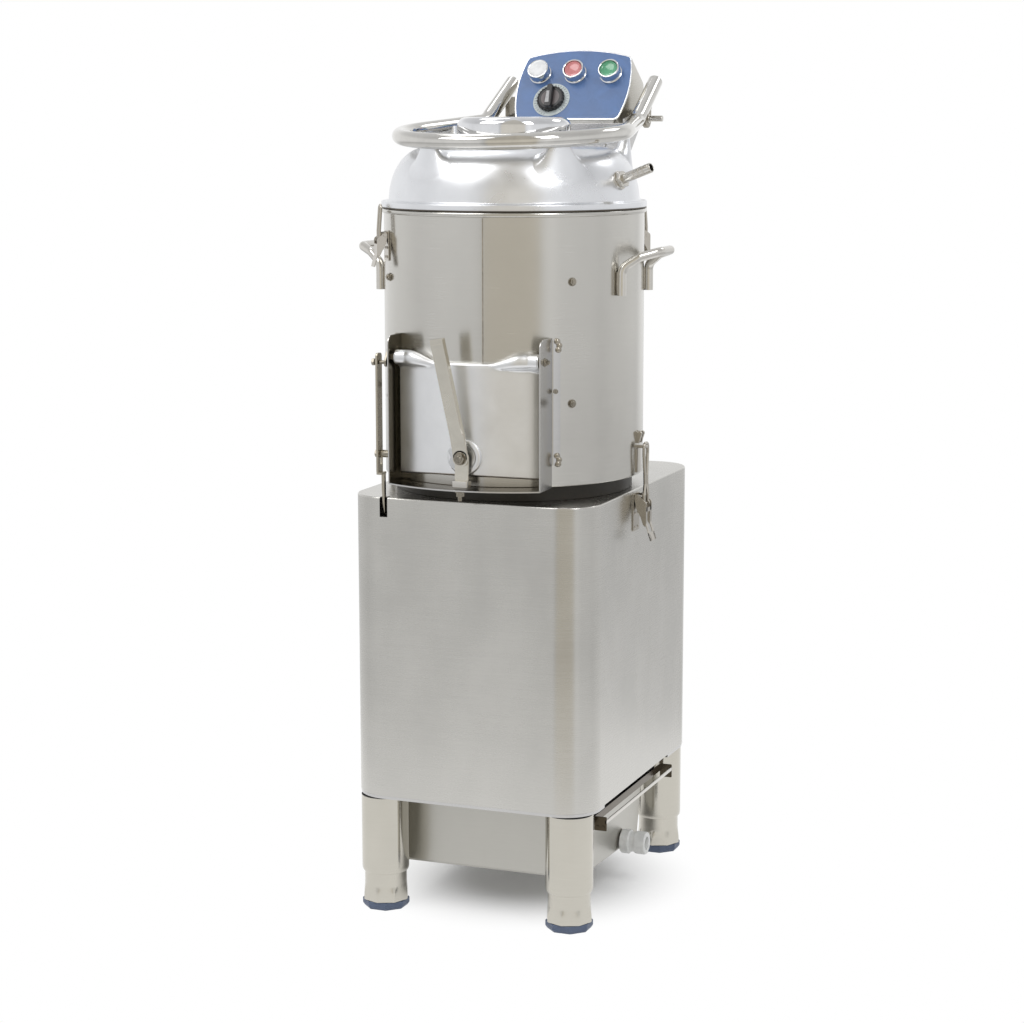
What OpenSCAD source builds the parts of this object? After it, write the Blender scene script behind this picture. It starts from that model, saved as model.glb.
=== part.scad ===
// Electric potato peeler: an abrasive disc turns in a steel drum that stands on a motor cabinet.
// Millimetres, +Z up, the floor at z = 0, the door side at -Y.

/* [Cabinet] */
// Width of the motor cabinet
cabinet_w = 342; // [330:1:400]
// Depth of the motor cabinet
cabinet_d = 450; // [440:1:520]
// Height of the cabinet's sheet body
cabinet_h = 406; // [360:1:490]
// Height of the cabinet's lower edge over the floor
cabinet_base = 163; // [158:1:200]
// Radius of the cabinet's upright corners
cabinet_r = 50; // [46:1:58]
// Thickness of the sheet steel
sheet = 1.5; // [1:0.1:2]

/* [Legs] */
// Outer radius of a leg sleeve
leg_r = 32; // [30:0.5:34]
// Distance from the cabinet's side to a leg's axis
leg_inset = 38; // [36:0.5:44]
// Height of the sleeve's lower end
sleeve_base = 51; // [45:1:70]
// Height of a rubber pad
pad_h = 11; // [8:0.5:16]

/* [Drum] */
// Outer radius of the drum wall
drum_r = 174.5; // [168:0.5:182]
// Height of the drum from its underside to the rim
drum_h = 354; // [330:1:440]
// Thickness of the drum wall
drum_wall = 1.5; // [1:0.1:2]
// Height of the drum's underside over the cabinet
drum_lift = 20; // [16:0.5:30]
// Radius of the waste pipe
outlet_r = 21; // [16:0.5:22]
// Thickness of the abrasive lining
liner_t = 4.5; // [3:0.5:6]

/* [Disc drive] */
// Radius of the drive shaft
shaft_r = 15; // [12:0.5:16]
// Running clearance of shafts and pins
running_gap = 0.05; // [0.02:0.01:0.08]
// Gap between the disc's edge and the lining
disc_gap = 5; // [3:0.5:8]
// Radius of the driven pulley
driven_r = 95; // [85:1:98]
// Radius of the motor pulley
motor_pulley_r = 28; // [26:1:32]
// Distance from the drum's axis to the motor's axis
motor_y = 180; // [170:1:188]
// Radius of the motor's body
motor_r = 58; // [50:1:60]

/* [Door] */
// Half of the distance between the inner faces of the frame's side plates
frame_half = 104.5; // [98:0.5:110]
// Radius of the sill's front edge
sill_r = 211; // [206:0.5:218]
// Height of the hinge pins over the drum's underside
door_hinge_h = 165; // [158:1:180]
// Distance of the hinge pins from the drum's axis
door_hinge_y = 166; // [164:0.5:168]
// Radius of the hinge pins
door_pin_r = 4; // [3:0.5:5]
// Length of the locking lever above its pivot
lever_len = 158; // [120:1:170]
// Lean of the locking lever from upright, in degrees
lever_lean = 9; // [6:0.5:14]

/* [Lid] */
// Outer radius of the lid's flange
flange_r = 177.5; // [174:0.5:179]
// Height of the dome over the flange
dome_h = 70; // [60:1:80]
// Radius of the dome's cap
cap_r = 76; // [60:1:90]
// Height of the dome's cap
cap_h = 40; // [30:1:44]
// Radius of the handle ring, to the middle of its tube
ring_r = 152; // [150:1:156]
// Radius of the handle ring's tube
tube_r = 10.5; // [8:0.5:11]
// Height of the handle ring over the rim, at its front
ring_h = 88; // [86:1:96]
// Slope by which the handle ring rises to the back, in degrees
ring_rise = 4.2; // [0:0.1:6]

/* [Control box] */
// Tilt of the panel from upright, in degrees
panel_tilt = 33; // [25:1:35]
// Half of the panel's greatest width
panel_half_w = 85; // [80:1:86]
// Height of the panel along its slope
panel_len = 116; // [110:1:125]
// Depth of the box behind the panel
box_depth = 65; // [55:1:75]
// Distance between neighbouring buttons
button_pitch = 53; // [46:1:54]
// Radius of a button's bezel
bezel_r = 14.5; // [12:0.5:16]
// Travel of the push buttons
button_travel = 3.5; // [2:0.5:4]
// Radius of the timer knob
knob_r = 19.5; // [16:0.5:22]

/* [Tray] */
// Half of the filter tray's width at its floor
tray_half_w = 133; // [120:1:136]
// Depth of the filter tray at its floor
tray_d = 252; // [220:1:256]
// Height of the tray's floor at its front
tray_floor = 54; // [48:1:70]
// Fall of the tray's floor towards the drain
tray_fall = 10; // [4:1:14]

/* [Hidden] */
$fn = 96;
eps = 0.01;          // overlap that joins the solids of one piece
cut = 1;             // length by which a cutter passes a face
seat_gap = 0.3;      // clearance between pieces that move past each other

// heights
cabinet_top = cabinet_base + cabinet_h;
drum_z = cabinet_top + drum_lift;
rim_z = drum_z + drum_h;
lid_z = rim_z + 1.5;
ring_z = rim_z + ring_h;

// plan of the cabinet: the drum's axis is x = y = 0
front_gap = 2.5;     // the cabinet's front passes the drum by this much
cabinet_front = -(drum_r + front_gap);
cabinet_back = cabinet_front + cabinet_d;
cabinet_y = (cabinet_front + cabinet_back) / 2;
leg_x = cabinet_w / 2 - leg_inset;
leg_front_y = cabinet_front + leg_inset - 4;
leg_back_y = cabinet_back - leg_inset + 4;

// colours
steel = [0.76, 0.75, 0.72];
dark_steel = [0.35, 0.35, 0.34];
cast = [0.85, 0.86, 0.88];
blue = [0.30, 0.45, 0.68];
pad_blue = [0.22, 0.30, 0.45];
abrasive = [0.25, 0.25, 0.26];
rubber_black = [0.08, 0.08, 0.09];
white = [0.93, 0.93, 0.90];

// ---------------------------------------------------------------- shared shapes

// A rectangle with round corners, as a union of exact shapes.
module rounded_rect(w, d, r) {
    square([w - 2 * r, d], center = true);
    square([w, d - 2 * r], center = true);
    for (sx = [-1, 1], sy = [-1, 1])
        translate([sx * (w / 2 - r), sy * (d / 2 - r)]) circle(r = r);
}

// The cabinet's outline, pulled in by an inset.
module cabinet_outline(inset) {
    translate([0, cabinet_y])
        rounded_rect(cabinet_w - 2 * inset, cabinet_d - 2 * inset, cabinet_r - inset);
}

// A round rod from one point to another.
module rod(from, to, r) {
    d = to - from;
    translate(from)
        rotate([0, atan2(norm([d[0], d[1]]), d[2]), atan2(d[1], d[0])])
            cylinder(r = r, h = norm(d));
}

function unit(v) = v / norm(v);

// Points round one corner p of a path, between the directions a and b.
function corner_points(p, a, b, bend) =
    let(turn = acos(a * b), steps = ceil(turn / 25), n = unit(b - (a * b) * a),
        c = p - a * bend * tan(turn / 2) + n * bend)
    turn < 10 ? [p] : [for (i = [0 : steps]) let(t = turn * i / steps) c - n * bend * cos(t) + a * bend * sin(t)];

// A path whose inner corners are rounded to a bend radius in short straight steps.
function rounded_path(path, bend) =
    let(last = len(path) - 1)
    concat([path[0]],
        [for (i = [1 : last - 1]) each corner_points(path[i], unit(path[i] - path[i - 1]),
            unit(path[i + 1] - path[i]), bend)],
        [path[last]]);

// A bent rod: short rods whose joints are closed by slightly larger balls.
ball_ratio = 1.03;
module bent_rod(path, r, bend) {
    points = rounded_path(path, bend);
    last = len(points) - 1;
    for (i = [0 : last - 1]) rod(points[i], points[i + 1], r);
    for (i = [1 : last - 1]) translate(points[i]) sphere(r = ball_ratio * r);
}

// A ring sector between two radii, from one azimuth over an angle.
module sector(r_in, r_out, z, h, start, angle) {
    rotate([0, 0, start])
        rotate_extrude(angle = angle) translate([r_in, z]) square([r_out - r_in, h]);
}

module tube(r_in, r_out, h) {
    difference() {
        cylinder(r = r_out, h = h);
        translate([0, 0, -cut]) cylinder(r = r_in, h = h + 2 * cut);
    }
}

// Every piece is drawn round the drum's axis and then moved, so that the origin is
// the middle of the whole object's plan.
module placed() {
    translate([0, origin_y, 0]) children();
}

// ---------------------------------------------------------------- cabinet and stand

seat_r = 160;        // outer radius of the ring that carries the drum
seat_wall = 8;
notch_x = -116;      // middle of the slot for the interlock strip
notch_w = 11;
notch_h = 26;
notch_d = 12;
gland_x = 110;
gland_z = cabinet_base + 42;
gland_r = 10;
module cabinet_shell() color(steel) placed() difference() {
    translate([0, 0, cabinet_base]) linear_extrude(cabinet_h) cabinet_outline(0);
    translate([0, 0, cabinet_base - cut])
        linear_extrude(cabinet_h - sheet + cut) cabinet_outline(sheet);
    translate([0, 0, cabinet_top - 2 * sheet])
        cylinder(r = seat_r - seat_wall, h = 4 * sheet);
    translate([notch_x - notch_w / 2, cabinet_front - cut, cabinet_top - notch_h])
        cube([notch_w, notch_d + cut, notch_h + cut]);
    translate([gland_x, cabinet_back - 2 * sheet, gland_z])
        rotate([-90, 0, 0]) cylinder(r = gland_r, h = 4 * sheet);
    translate([0, column_y, cabinet_top - 2 * sheet]) cylinder(r = cable_hole_r, h = 4 * sheet);
}

frame_t = 4;
tray_front = -(drum_r - 68);         // front face of the tray at its floor
tray_back = tray_front + tray_d;
post_w = 20;
post_t = 2.5;
deck_t = 5;
deck_z = cabinet_top - sheet - deck_t;
runner_z = cabinet_base - 24;        // lower edge of the tray's runners
runner_t = 1.5;
runner_w = [3.6, 11.5];              // front and rear runner
rim_front = tray_front - 2.5;        // edges of the tray's rim
rim_back = tray_back + 18;
// An angle that a long side of the tray's rim slides in.
module runner(y, w) {
    left = -cabinet_w / 2 + 10;
    len = lip_x - 1 - left;
    translate([left, y, runner_z]) mirror([0, w == runner_w[1] ? 1 : 0, 0]) {
        cube([len, runner_t, cabinet_base - frame_t / 2 - runner_z]);
        cube([len, w, runner_t]);
    }
}
module under_frame() color(steel) placed() {
    difference() {
        translate([0, 0, cabinet_base - frame_t]) linear_extrude(frame_t) cabinet_outline(0.7);
        translate([-cabinet_w / 2 + 24, rim_front, cabinet_base - frame_t - cut])
            cube([cabinet_w, rim_back - rim_front, frame_t + 2 * cut]);
    }
    runner(rim_front - runner_t - 0.4, runner_w[0]);
    runner(rim_back + runner_t + 0.6, runner_w[1]);
    for (sx = [-1, 1], y = [cabinet_front + 34, cabinet_back - 34 - post_w])
        translate([sx * (cabinet_w / 2 - 34) - (sx > 0 ? post_w : 0), y, cabinet_base - eps]) {
            cube([post_w, post_t, deck_z - cabinet_base + eps]);
            translate([sx > 0 ? post_w - post_t : 0, 0, 0])
                cube([post_t, post_w, deck_z - cabinet_base + eps]);
        }
}

// Children at each of the four legs.
module at_legs() {
    for (sx = [-1, 1], y = [leg_front_y, leg_back_y]) translate([sx * leg_x, y, 0]) children();
}
sleeve_top = cabinet_base - frame_t - 3;
sleeve_wall = 1.5;
module leg_sleeves() color(steel) placed() at_legs() {
    translate([0, 0, sleeve_base]) tube(leg_r - sleeve_wall, leg_r, sleeve_top - sleeve_base);
    translate([0, 0, sleeve_top - frame_t]) cylinder(r = leg_r - sleeve_wall + eps, h = frame_t);
    translate([0, 0, sleeve_top - eps]) cylinder(r = leg_r - 8, h = 3 + eps);
}
foot_r = leg_r - sleeve_wall - 0.5;
foot_flats_r = 30.2;
module feet() color(steel) placed() at_legs() {
    translate([0, 0, sleeve_base - 18]) tube(foot_r - 2, foot_r, 70);
    intersection() {
        translate([0, 0, pad_h]) cylinder(r = foot_r, h = sleeve_base - 18 - pad_h + eps);
        translate([0, 0, pad_h]) rotate([0, 0, 22.5]) cylinder(r = foot_flats_r, h = 40, $fn = 8);
    }
}
pad_r = 33;
module foot_pads() color(pad_blue) placed() at_legs() rotate([0, 0, 22.5])
    cylinder(r = pad_r, h = pad_h, $fn = 8);

// ---------------------------------------------------------------- drive

outlet_x = 98;
outlet_y = 82;
pulley_z = cabinet_top - 139;        // underside of both pulleys
pulley_h = 26;
bracket_z = pulley_z - 9;            // motor plate
bracket_t = 4;
bracket_half = 70;
housing_r = 40;
bearing_r = 31;
bearing_h = 16;
housing_z = cabinet_top - 91;
module drum_deck() color(dark_steel) placed() {
    difference() {
        translate([0, 0, deck_z]) linear_extrude(deck_t) cabinet_outline(sheet + 3);
        translate([0, 0, deck_z - cut]) cylinder(r = housing_r + seat_gap, h = deck_t + 2 * cut);
        translate([outlet_x, outlet_y, deck_z - cut])
            cylinder(r = outlet_r + 1.5, h = deck_t + 2 * cut);
        translate([0, column_y, deck_z - cut]) cylinder(r = cable_hole_r, h = deck_t + 2 * cut);
        translate([notch_x - notch_w / 2, cabinet_front, deck_z - cut])
            cube([notch_w, notch_d + 24, deck_t + 2 * cut]);
    }
    difference() {
        translate([-bracket_half, motor_y - 65, bracket_z]) cube([2 * bracket_half, 130, bracket_t]);
        translate([0, motor_y, bracket_z - cut]) cylinder(r = 20, h = bracket_t + 2 * cut);
    }
    for (sx = [-1, 1])
        translate([sx * bracket_half - (sx > 0 ? 3 : 0), motor_y - 65, bracket_z + bracket_t - eps])
            cube([3, 130, deck_z - bracket_z - bracket_t + 2 * eps]);
}

module bearing_housing() color(dark_steel) placed() difference() {
    union() {
        translate([0, 0, housing_z]) cylinder(r = housing_r, h = drum_z - housing_z);
        translate([0, 0, deck_z - 8]) cylinder(r = housing_r + 20, h = 8);
    }
    translate([0, 0, housing_z - cut]) cylinder(r = bearing_r, h = drum_z - housing_z - 28 + cut);
    translate([0, 0, housing_z]) cylinder(r = shaft_r + 1, h = drum_z - housing_z + cut);
}

module shaft_bearings() color(steel) placed()
    for (z = [housing_z, drum_z - 28 - bearing_h])
        translate([0, 0, z]) difference() {
            tube(shaft_r, bearing_r, bearing_h);
            for (face = [-1, bearing_h - 1])
                translate([0, 0, face]) tube(shaft_r + 4, bearing_r - 4, 2);
        }

seal_r = 24;
floor_t = 3;
module shaft_seal() color(rubber_black) placed() translate([0, 0, drum_z])
    tube(shaft_r + running_gap, seal_r, floor_t + 4);

module motor_body() color(dark_steel) placed() translate([0, motor_y, 0]) difference() {
    union() {
        translate([0, 0, bracket_z - 8]) cylinder(r = motor_r + 4, h = 8);
        translate([0, 0, bracket_z - 160]) cylinder(r = motor_r, h = 153);
        for (a = [0 : 20 : 340]) rotate([0, 0, a])
            translate([motor_r - 1, -1.5, bracket_z - 150]) cube([5, 3, 130]);
        translate([0, 0, bracket_z - 195]) cylinder(r = motor_r + 2, h = 36);
        translate([-28, -motor_r - 22, bracket_z - 110]) cube([56, 30, 50]);
    }
    translate([0, 0, bracket_z - 120]) cylinder(r = 11 + running_gap, h = 121);
    for (a = [0 : 30 : 330]) rotate([0, 0, a])
        translate([motor_r - 24, -3, bracket_z - 196]) cube([16, 6, 4]);
}

belt_t = 8;
belt_w = 13;
belt_z = pulley_z + (pulley_h - belt_w) / 2;
module belt_outline(inset) {
    hull() {
        circle(r = driven_r - belt_t + inset, $fn = 64);
        translate([0, motor_y]) circle(r = motor_pulley_r - belt_t + inset, $fn = 32);
    }
}
module drive_belt() color(rubber_black) placed() translate([0, 0, belt_z]) linear_extrude(belt_w)
    difference() {
        belt_outline(belt_t);
        belt_outline(0.5);
    }

// A grooved pulley that leaves the belt free by seat_gap on each side.
module pulley(r) {
    difference() {
        cylinder(r = r, h = pulley_h);
        translate([0, 0, (pulley_h - belt_w) / 2 - seat_gap])
            tube(r - belt_t, r + cut, belt_w + 2 * seat_gap);
    }
}
module driven_pulley() color(dark_steel) placed() translate([0, 0, pulley_z]) difference() {
    union() {
        pulley(driven_r);
        translate([0, 0, -5]) cylinder(r = 28, h = 45);
    }
    translate([0, 0, -6]) cylinder(r = shaft_r - running_gap, h = 50);
    for (a = [0 : 60 : 300]) rotate([0, 0, a]) translate([56, 0, -cut])
        cylinder(r = 18, h = pulley_h + 2 * cut);
}
module motor_pulley() color(steel) placed() translate([0, motor_y, 0]) {
    translate([0, 0, pulley_z]) pulley(motor_pulley_r);
    translate([0, 0, bracket_z - 115]) cylinder(r = 11, h = 115 + pulley_h + 15);
}

disc_z = drum_z + 9;
liner_r = drum_r - drum_wall - 0.3;
disc_r = liner_r - liner_t - disc_gap;
disc_t = 8;
module abrasive_disc() color(abrasive) placed() difference() {
    union() {
        translate([0, 0, disc_z]) cylinder(r = disc_r, h = disc_t);
        for (a = [0 : 120 : 240]) rotate([0, 0, a])
            translate([26, 0, disc_z + disc_t - 4]) rotate([0, 90, 0])
                cylinder(r = 9, h = disc_r - 38);
    }
    translate([0, 0, disc_z - 20]) cylinder(r = disc_r, h = 20);
    translate([0, 0, disc_z - cut]) cylinder(r = shaft_r - running_gap - 3, h = disc_t + 10);
}
module drive_shaft() color(steel) placed() {
    translate([0, 0, pulley_z - 12])
        cylinder(r = shaft_r - running_gap, h = disc_z - pulley_z + 12);
    translate([0, 0, disc_z - eps]) cylinder(r = shaft_r - running_gap - 3, h = disc_t + 8);
    translate([0, 0, disc_z + disc_t]) cylinder(r = 22, h = 9);
    translate([0, 0, disc_z + disc_t + 9 - eps]) cylinder(r1 = 22, r2 = 12, h = 7);
}

module contactor() color(rubber_black) placed() {
    wall_x = -cabinet_w / 2 + sheet;
    translate([wall_x, 20, cabinet_base + 110]) cube([7.5, 140, 35]);
    translate([wall_x + 7.5, 30, cabinet_base + 90]) cube([70, 45, 75]);
    translate([wall_x + 7.5, 95, cabinet_base + 105]) cube([30, 56, 45]);
}
module cable_gland() color(rubber_black) placed() translate([gland_x, cabinet_back, gland_z])
    rotate([-90, 0, 0]) difference() {
        union() {
            translate([0, 0, -sheet]) cylinder(r = gland_r - 0.1, h = sheet + eps);
            cylinder(r = 14, h = 6, $fn = 6);
            translate([0, 0, 6 - eps]) cylinder(r = 11, h = 8);
            translate([0, 0, -sheet - 6]) cylinder(r = 14, h = 6 + eps, $fn = 6);
        }
        translate([0, 0, -12]) cylinder(r = 5, h = 30);
    }

// ---------------------------------------------------------------- drum

bead_r = 3.25;
opening_half = 88;
opening_z = drum_z + 14;
opening_h = 142;
screw_az = [-43.5, -138.5, 43.5, 138.5];
screw_z = [drum_z + 108, drum_z + 265];
screw_r = 3;
// Children at each lining screw, with +Z pointing away from the drum's axis.
module at_liner_screws(r) {
    for (a = screw_az, z = screw_z)
        rotate([0, 0, a]) translate([r, 0, z]) rotate([0, 90, 0]) children();
}
module drum_shell() color(steel) placed() difference() {
    rotate_extrude() {
        translate([drum_r - drum_wall, drum_z]) square([drum_wall, drum_h - bead_r]);
        translate([seal_r + seat_gap, drum_z]) square([drum_r - seal_r - 1, floor_t]);
        translate([flange_r - bead_r, rim_z - bead_r]) circle(r = bead_r);
    }
    translate([-opening_half, -drum_r - 5, opening_z]) cube([2 * opening_half, 40 + drum_wall, opening_h]);
    translate([outlet_x, outlet_y, drum_z - cut]) cylinder(r = outlet_r - 2, h = floor_t + 2 * cut);
    at_liner_screws(drum_r - 12) cylinder(r = screw_r, h = 24);
}
module drum_seat() color(dark_steel) placed() translate([0, 0, cabinet_top])
    tube(seat_r - seat_wall, seat_r, drum_lift);
module drum_outlet() color(steel) placed() translate([outlet_x, outlet_y, 0])
    translate([0, 0, cabinet_base - 8]) tube(outlet_r - 2, outlet_r, drum_z - cabinet_base + 8);
module abrasive_liner() color(abrasive) placed() difference() {
    sector(liner_r - liner_t, liner_r, drum_z + 26, drum_h - 90, -54, 288);
    at_liner_screws(liner_r - 20) cylinder(r = screw_r, h = 24);
}

stud_x = 4;
stud_y = -(sill_r - 8);
guide_z = drum_z + 38;
guide_y = -(door_hinge_y + 8);
rod_x = -(frame_half + 15);
module drum_screws() color(dark_steel) placed() {
    at_liner_screws(liner_r - liner_t - 2) {
        cylinder(r = screw_r, h = liner_t + drum_wall + 4);
        translate([0, 0, liner_t + drum_wall + 2.3]) cylinder(r1 = 5.5, r2 = 3.6, h = 2.8);
    }
    for (a = [-51.2, 180 + 51.2]) rotate([0, 0, a])
        translate([drum_r + 2, 0, drum_z + 125]) rotate([0, 90, 0]) cylinder(r = 3.2, h = 2.5);
    // stud and nut under the sill
    translate([stud_x, stud_y, drum_z - 14]) cylinder(r = 3, h = 13 + eps);
    translate([stud_x, stud_y, drum_z - 8]) cylinder(r = 6, h = 7, $fn = 6);
    // guide bolt of the interlock rod, on the left side plate
    translate([-frame_half - 2, guide_y, guide_z]) rotate([0, -90, 0]) {
        cylinder(r = 3, h = 17);
        cylinder(r = 5, h = 13 - seat_gap);
        translate([0, 0, 16.5]) cylinder(r = 5.5, h = 4, $fn = 6);
    }
}

plate_t = 2;
plate_h = 195;
plate_front = -sqrt(pow(sill_r, 2) - pow(frame_half + plate_t, 2));
// The outline of a side plate seen along X: y forward, z up, with a round upper front corner.
module side_plate_outline() {
    corner = 12;
    translate([plate_front, -1]) square([60, plate_h - corner]);
    translate([plate_front + corner, -1]) square([60 - corner, plate_h]);
    translate([plate_front + corner, plate_h - corner - 1]) circle(r = corner);
}
module door_frame() color(steel) placed() difference() {
    plate_az = acos((frame_half + plate_t) / drum_r);
    union() {
        for (sx = [-1, 1])
            translate([sx * (frame_half + plate_t / 2) - plate_t / 2, 0, drum_z])
                rotate([90, 0, 90]) linear_extrude(plate_t) side_plate_outline();
        intersection() {
            translate([0, 0, drum_z - 1]) cylinder(r = sill_r, h = plate_t);
            translate([-frame_half - plate_t / 2, -sill_r, drum_z - 2])
                cube([2 * frame_half + plate_t, sill_r, plate_t + 2]);
        }
        for (start = [-plate_az - 0.3, 180 + plate_az - 3.4])
            sector(drum_r - 2, drum_r + 1.8, drum_z + 30, plate_h - 33, start, 3.7);
    }
    translate([0, 0, drum_z - 10]) cylinder(r = drum_r, h = plate_h + 20);
    for (sx = [-1, 1]) translate([sx * (frame_half + 1), -door_hinge_y, drum_z + door_hinge_h])
        rotate([0, 90, 0]) cylinder(r = door_pin_r + running_gap, h = 8, center = true);
}

handle_r = 6;
handle_az = 18;
handle_z = drum_z + 244;
handle_bend = 12;
handle_sides = 20;
// One half of a handle's path: up the drum's wall, then out to the grip.
function handle_half(sx, sy) =
    let(leg = drum_r + handle_r, x = leg * cos(handle_az), y = leg * sin(handle_az))
    [[sx * x, sy * y, handle_z], [sx * x, sy * y, handle_z + 38],
        [sx * (x + 22), sy * (y - 8), handle_z + 54],
        [sx * (drum_r + 44.5 - handle_r), sy * (y - 32), handle_z + 56]];
// One ring of points round a path at p, square to the direction t.
function ring_points(p, t, r, sides) =
    let(u = unit(cross(t, [1, 0, 0])), v = cross(t, u))
    [for (k = [0 : sides - 1]) p + r * (u * cos(360 * k / sides) + v * sin(360 * k / sides))];

// A faceted bent rod, whose path never runs along X.
module swept_rod(path, r, bend, sides) {
    points = rounded_path(path, bend);
    last = len(points) - 1;
    dirs = [for (i = [0 : last])
        unit(points[min(i + 1, last)] - points[min(i + 1, last) - 1])
            + unit(points[max(i, 1)] - points[max(i, 1) - 1])];
    polyhedron(
        points = [for (i = [0 : last]) each ring_points(points[i], unit(dirs[i]), r, sides)],
        faces = concat(
            [[for (k = [0 : sides - 1]) k]],
            [[for (k = [sides - 1 : -1 : 0]) last * sides + k]],
            [for (i = [0 : last - 1], k = [0 : sides - 1])
                let(k2 = (k + 1) % sides)
                each [[i * sides + k, (i + 1) * sides + k, (i + 1) * sides + k2],
                    [i * sides + k, (i + 1) * sides + k2, i * sides + k2]]]));
}
module side_handle(sx) {
    near = handle_half(sx, -1);
    far = handle_half(sx, 1);
    swept_rod(concat(near, [for (i = [3 : -1 : 0]) far[i]]), handle_r, handle_bend, handle_sides);
}
module side_handle_left() color(steel) placed() side_handle(-1);
module side_handle_right() color(steel) placed() side_handle(1);

// ---------------------------------------------------------------- toggle latches
// Each latch: x points away from the wall, z up, the origin on the wall at the pivot's height.
// [pivot x, pin offset, half width, lever length, hook rise, hook top x, plate length]

lid_latch = [5.5, 6.5, 9, 42, 39, 9.5, 40];
base_latch = [6.5, 8, 12, 58, 73, 14, 52];
lid_latch_az = [-142, 38];
lid_latch_z = rim_z - 34;
base_latch_y = 9;
base_latch_z = cabinet_top - 10;
latch_wall = 1.5;
ear_r = 4;
pivot_r = 2;
hook_wire = [1.8, 2.2];
hook_eye = 1.2;
module at_lid_latch(i) {
    rotate([0, 0, lid_latch_az[i]]) translate([drum_r, 0, lid_latch_z]) children();
}
module at_base_latch(sx) {
    mirror([sx < 0 ? 1 : 0, 0, 0])
        translate([cabinet_w / 2, base_latch_y, base_latch_z]) children();
}
module latch_base(s) {
    ear_y = s[2] - latch_wall - 1.2 - latch_wall;
    translate([0, -s[2] - 1, -s[6] + 6]) cube([1.6, 2 * s[2] + 2, s[6]]);
    for (sy = [-1, 1]) translate([0, sy * ear_y - latch_wall / 2, 0]) {
        translate([0, 0, -ear_r]) cube([s[0], latch_wall, 2 * ear_r]);
        translate([s[0], 0, 0]) rotate([-90, 0, 0]) cylinder(r = ear_r, h = latch_wall);
    }
    translate([s[0], -s[2], 0]) rotate([-90, 0, 0]) cylinder(r = pivot_r, h = 2 * s[2]);
}
module latch_lever(s) {
    web_x = s[0] + s[1] + 4.5;
    depth = web_x - 2.6;
    difference() {
        union() {
            for (sy = [-1, 1]) translate([0, sy * (s[2] - latch_wall / 2) - latch_wall / 2, 0]) {
                translate([2.6, 0, -s[3] * 0.62]) cube([depth - 3, latch_wall, s[3] * 0.62 - 1]);
                translate([s[0], 0, 0]) rotate([-90, 0, 0])
                    cylinder(r = s[0] - 2, h = latch_wall);
                translate([s[0] + s[1], 0, -s[1]]) rotate([-90, 0, 0])
                    cylinder(r = 4, h = latch_wall);
            }
            translate([web_x - latch_wall, -s[2], -s[3] * 0.62])
                cube([latch_wall, 2 * s[2], s[3] * 0.62 - s[1] - 6]);
            translate([web_x - 4, -s[2], -s[3] * 0.62]) cube([4, 2 * s[2], latch_wall]);
            // flared finger end
            translate([web_x - 4, -s[2], -s[3] * 0.62 + 1]) rotate([0, -24, 0])
                translate([0, 0, -s[3] * 0.42]) cube([latch_wall, 2 * s[2], s[3] * 0.42]);
            translate([s[0] + s[1], -s[2], -s[1]]) rotate([-90, 0, 0])
                cylinder(r = pivot_r - 0.5, h = 2 * s[2]);
        }
        translate([s[0], -s[2] - cut, 0]) rotate([-90, 0, 0])
            cylinder(r = pivot_r + running_gap, h = 2 * s[2] + 2 * cut);
    }
}
function hook_leg_y(s, wire_r) = s[2] - latch_wall - 0.6 - wire_r;
module latch_hook(s, wire_r) {
    leg_y = hook_leg_y(s, wire_r);
    x = s[0] + s[1];
    difference() {
        union() {
            bent_rod([[x, -leg_y, -s[1]], [x, -leg_y, 6], [s[5], -leg_y, s[4]],
                [s[5], leg_y, s[4]], [x, leg_y, 6], [x, leg_y, -s[1]]], wire_r, 3);
            for (sy = [-1, 1]) translate([x, sy * leg_y, -s[1]]) rotate([90, 0, 0])
                cylinder(r = pivot_r - 0.5 + hook_eye + 0.6, h = 2 * wire_r - 0.2, center = true);
        }
        translate([x, 0, -s[1]]) rotate([90, 0, 0])
            cylinder(r = pivot_r - 0.5 + running_gap, h = 3 * s[2], center = true);
    }
}
module latch_bases() color(steel) placed() {
    for (i = [0, 1]) at_lid_latch(i) latch_base(lid_latch);
    for (sx = [-1, 1]) at_base_latch(sx) latch_base(base_latch);
}
module lid_latch_lever_front() color(steel) placed() at_lid_latch(0) latch_lever(lid_latch);
module lid_latch_lever_rear() color(steel) placed() at_lid_latch(1) latch_lever(lid_latch);
module lid_latch_hook_front() color(steel) placed()
    at_lid_latch(0) latch_hook(lid_latch, hook_wire[0]);
module lid_latch_hook_rear() color(steel) placed()
    at_lid_latch(1) latch_hook(lid_latch, hook_wire[0]);
module base_latch_lever_left() color(steel) placed() at_base_latch(-1) latch_lever(base_latch);
module base_latch_lever_right() color(steel) placed() at_base_latch(1) latch_lever(base_latch);
module base_latch_hook_left() color(steel) placed()
    at_base_latch(-1) latch_hook(base_latch, hook_wire[1]);
module base_latch_hook_right() color(steel) placed()
    at_base_latch(1) latch_hook(base_latch, hook_wire[1]);

// The nose on the drum that each lower hook pulls on.
module drum_catches() color(steel) placed() {
    hook_x = cabinet_w / 2 + base_latch[5];
    nose_z = base_latch_z + base_latch[4] - hook_wire[1] - seat_gap;
    nose_half = hook_leg_y(base_latch, hook_wire[1]) - ball_ratio * hook_wire[1] - 1;
    for (sx = [-1, 1]) mirror([sx < 0 ? 1 : 0, 0, 0]) difference() {
        union() {
            translate([drum_r - 10, base_latch_y - nose_half, nose_z - 4])
                cube([hook_x - drum_r + 12, 2 * nose_half, 4]);
            translate([drum_r - 6, base_latch_y - 11, drum_z + 4])
                cube([8, 22, nose_z - drum_z - 4 - 0.5]);
        }
        translate([0, 0, drum_z]) cylinder(r = drum_r + 0.05, h = 90, $fn = 360);
    }
}

// ---------------------------------------------------------------- column, hinge and control box

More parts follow.
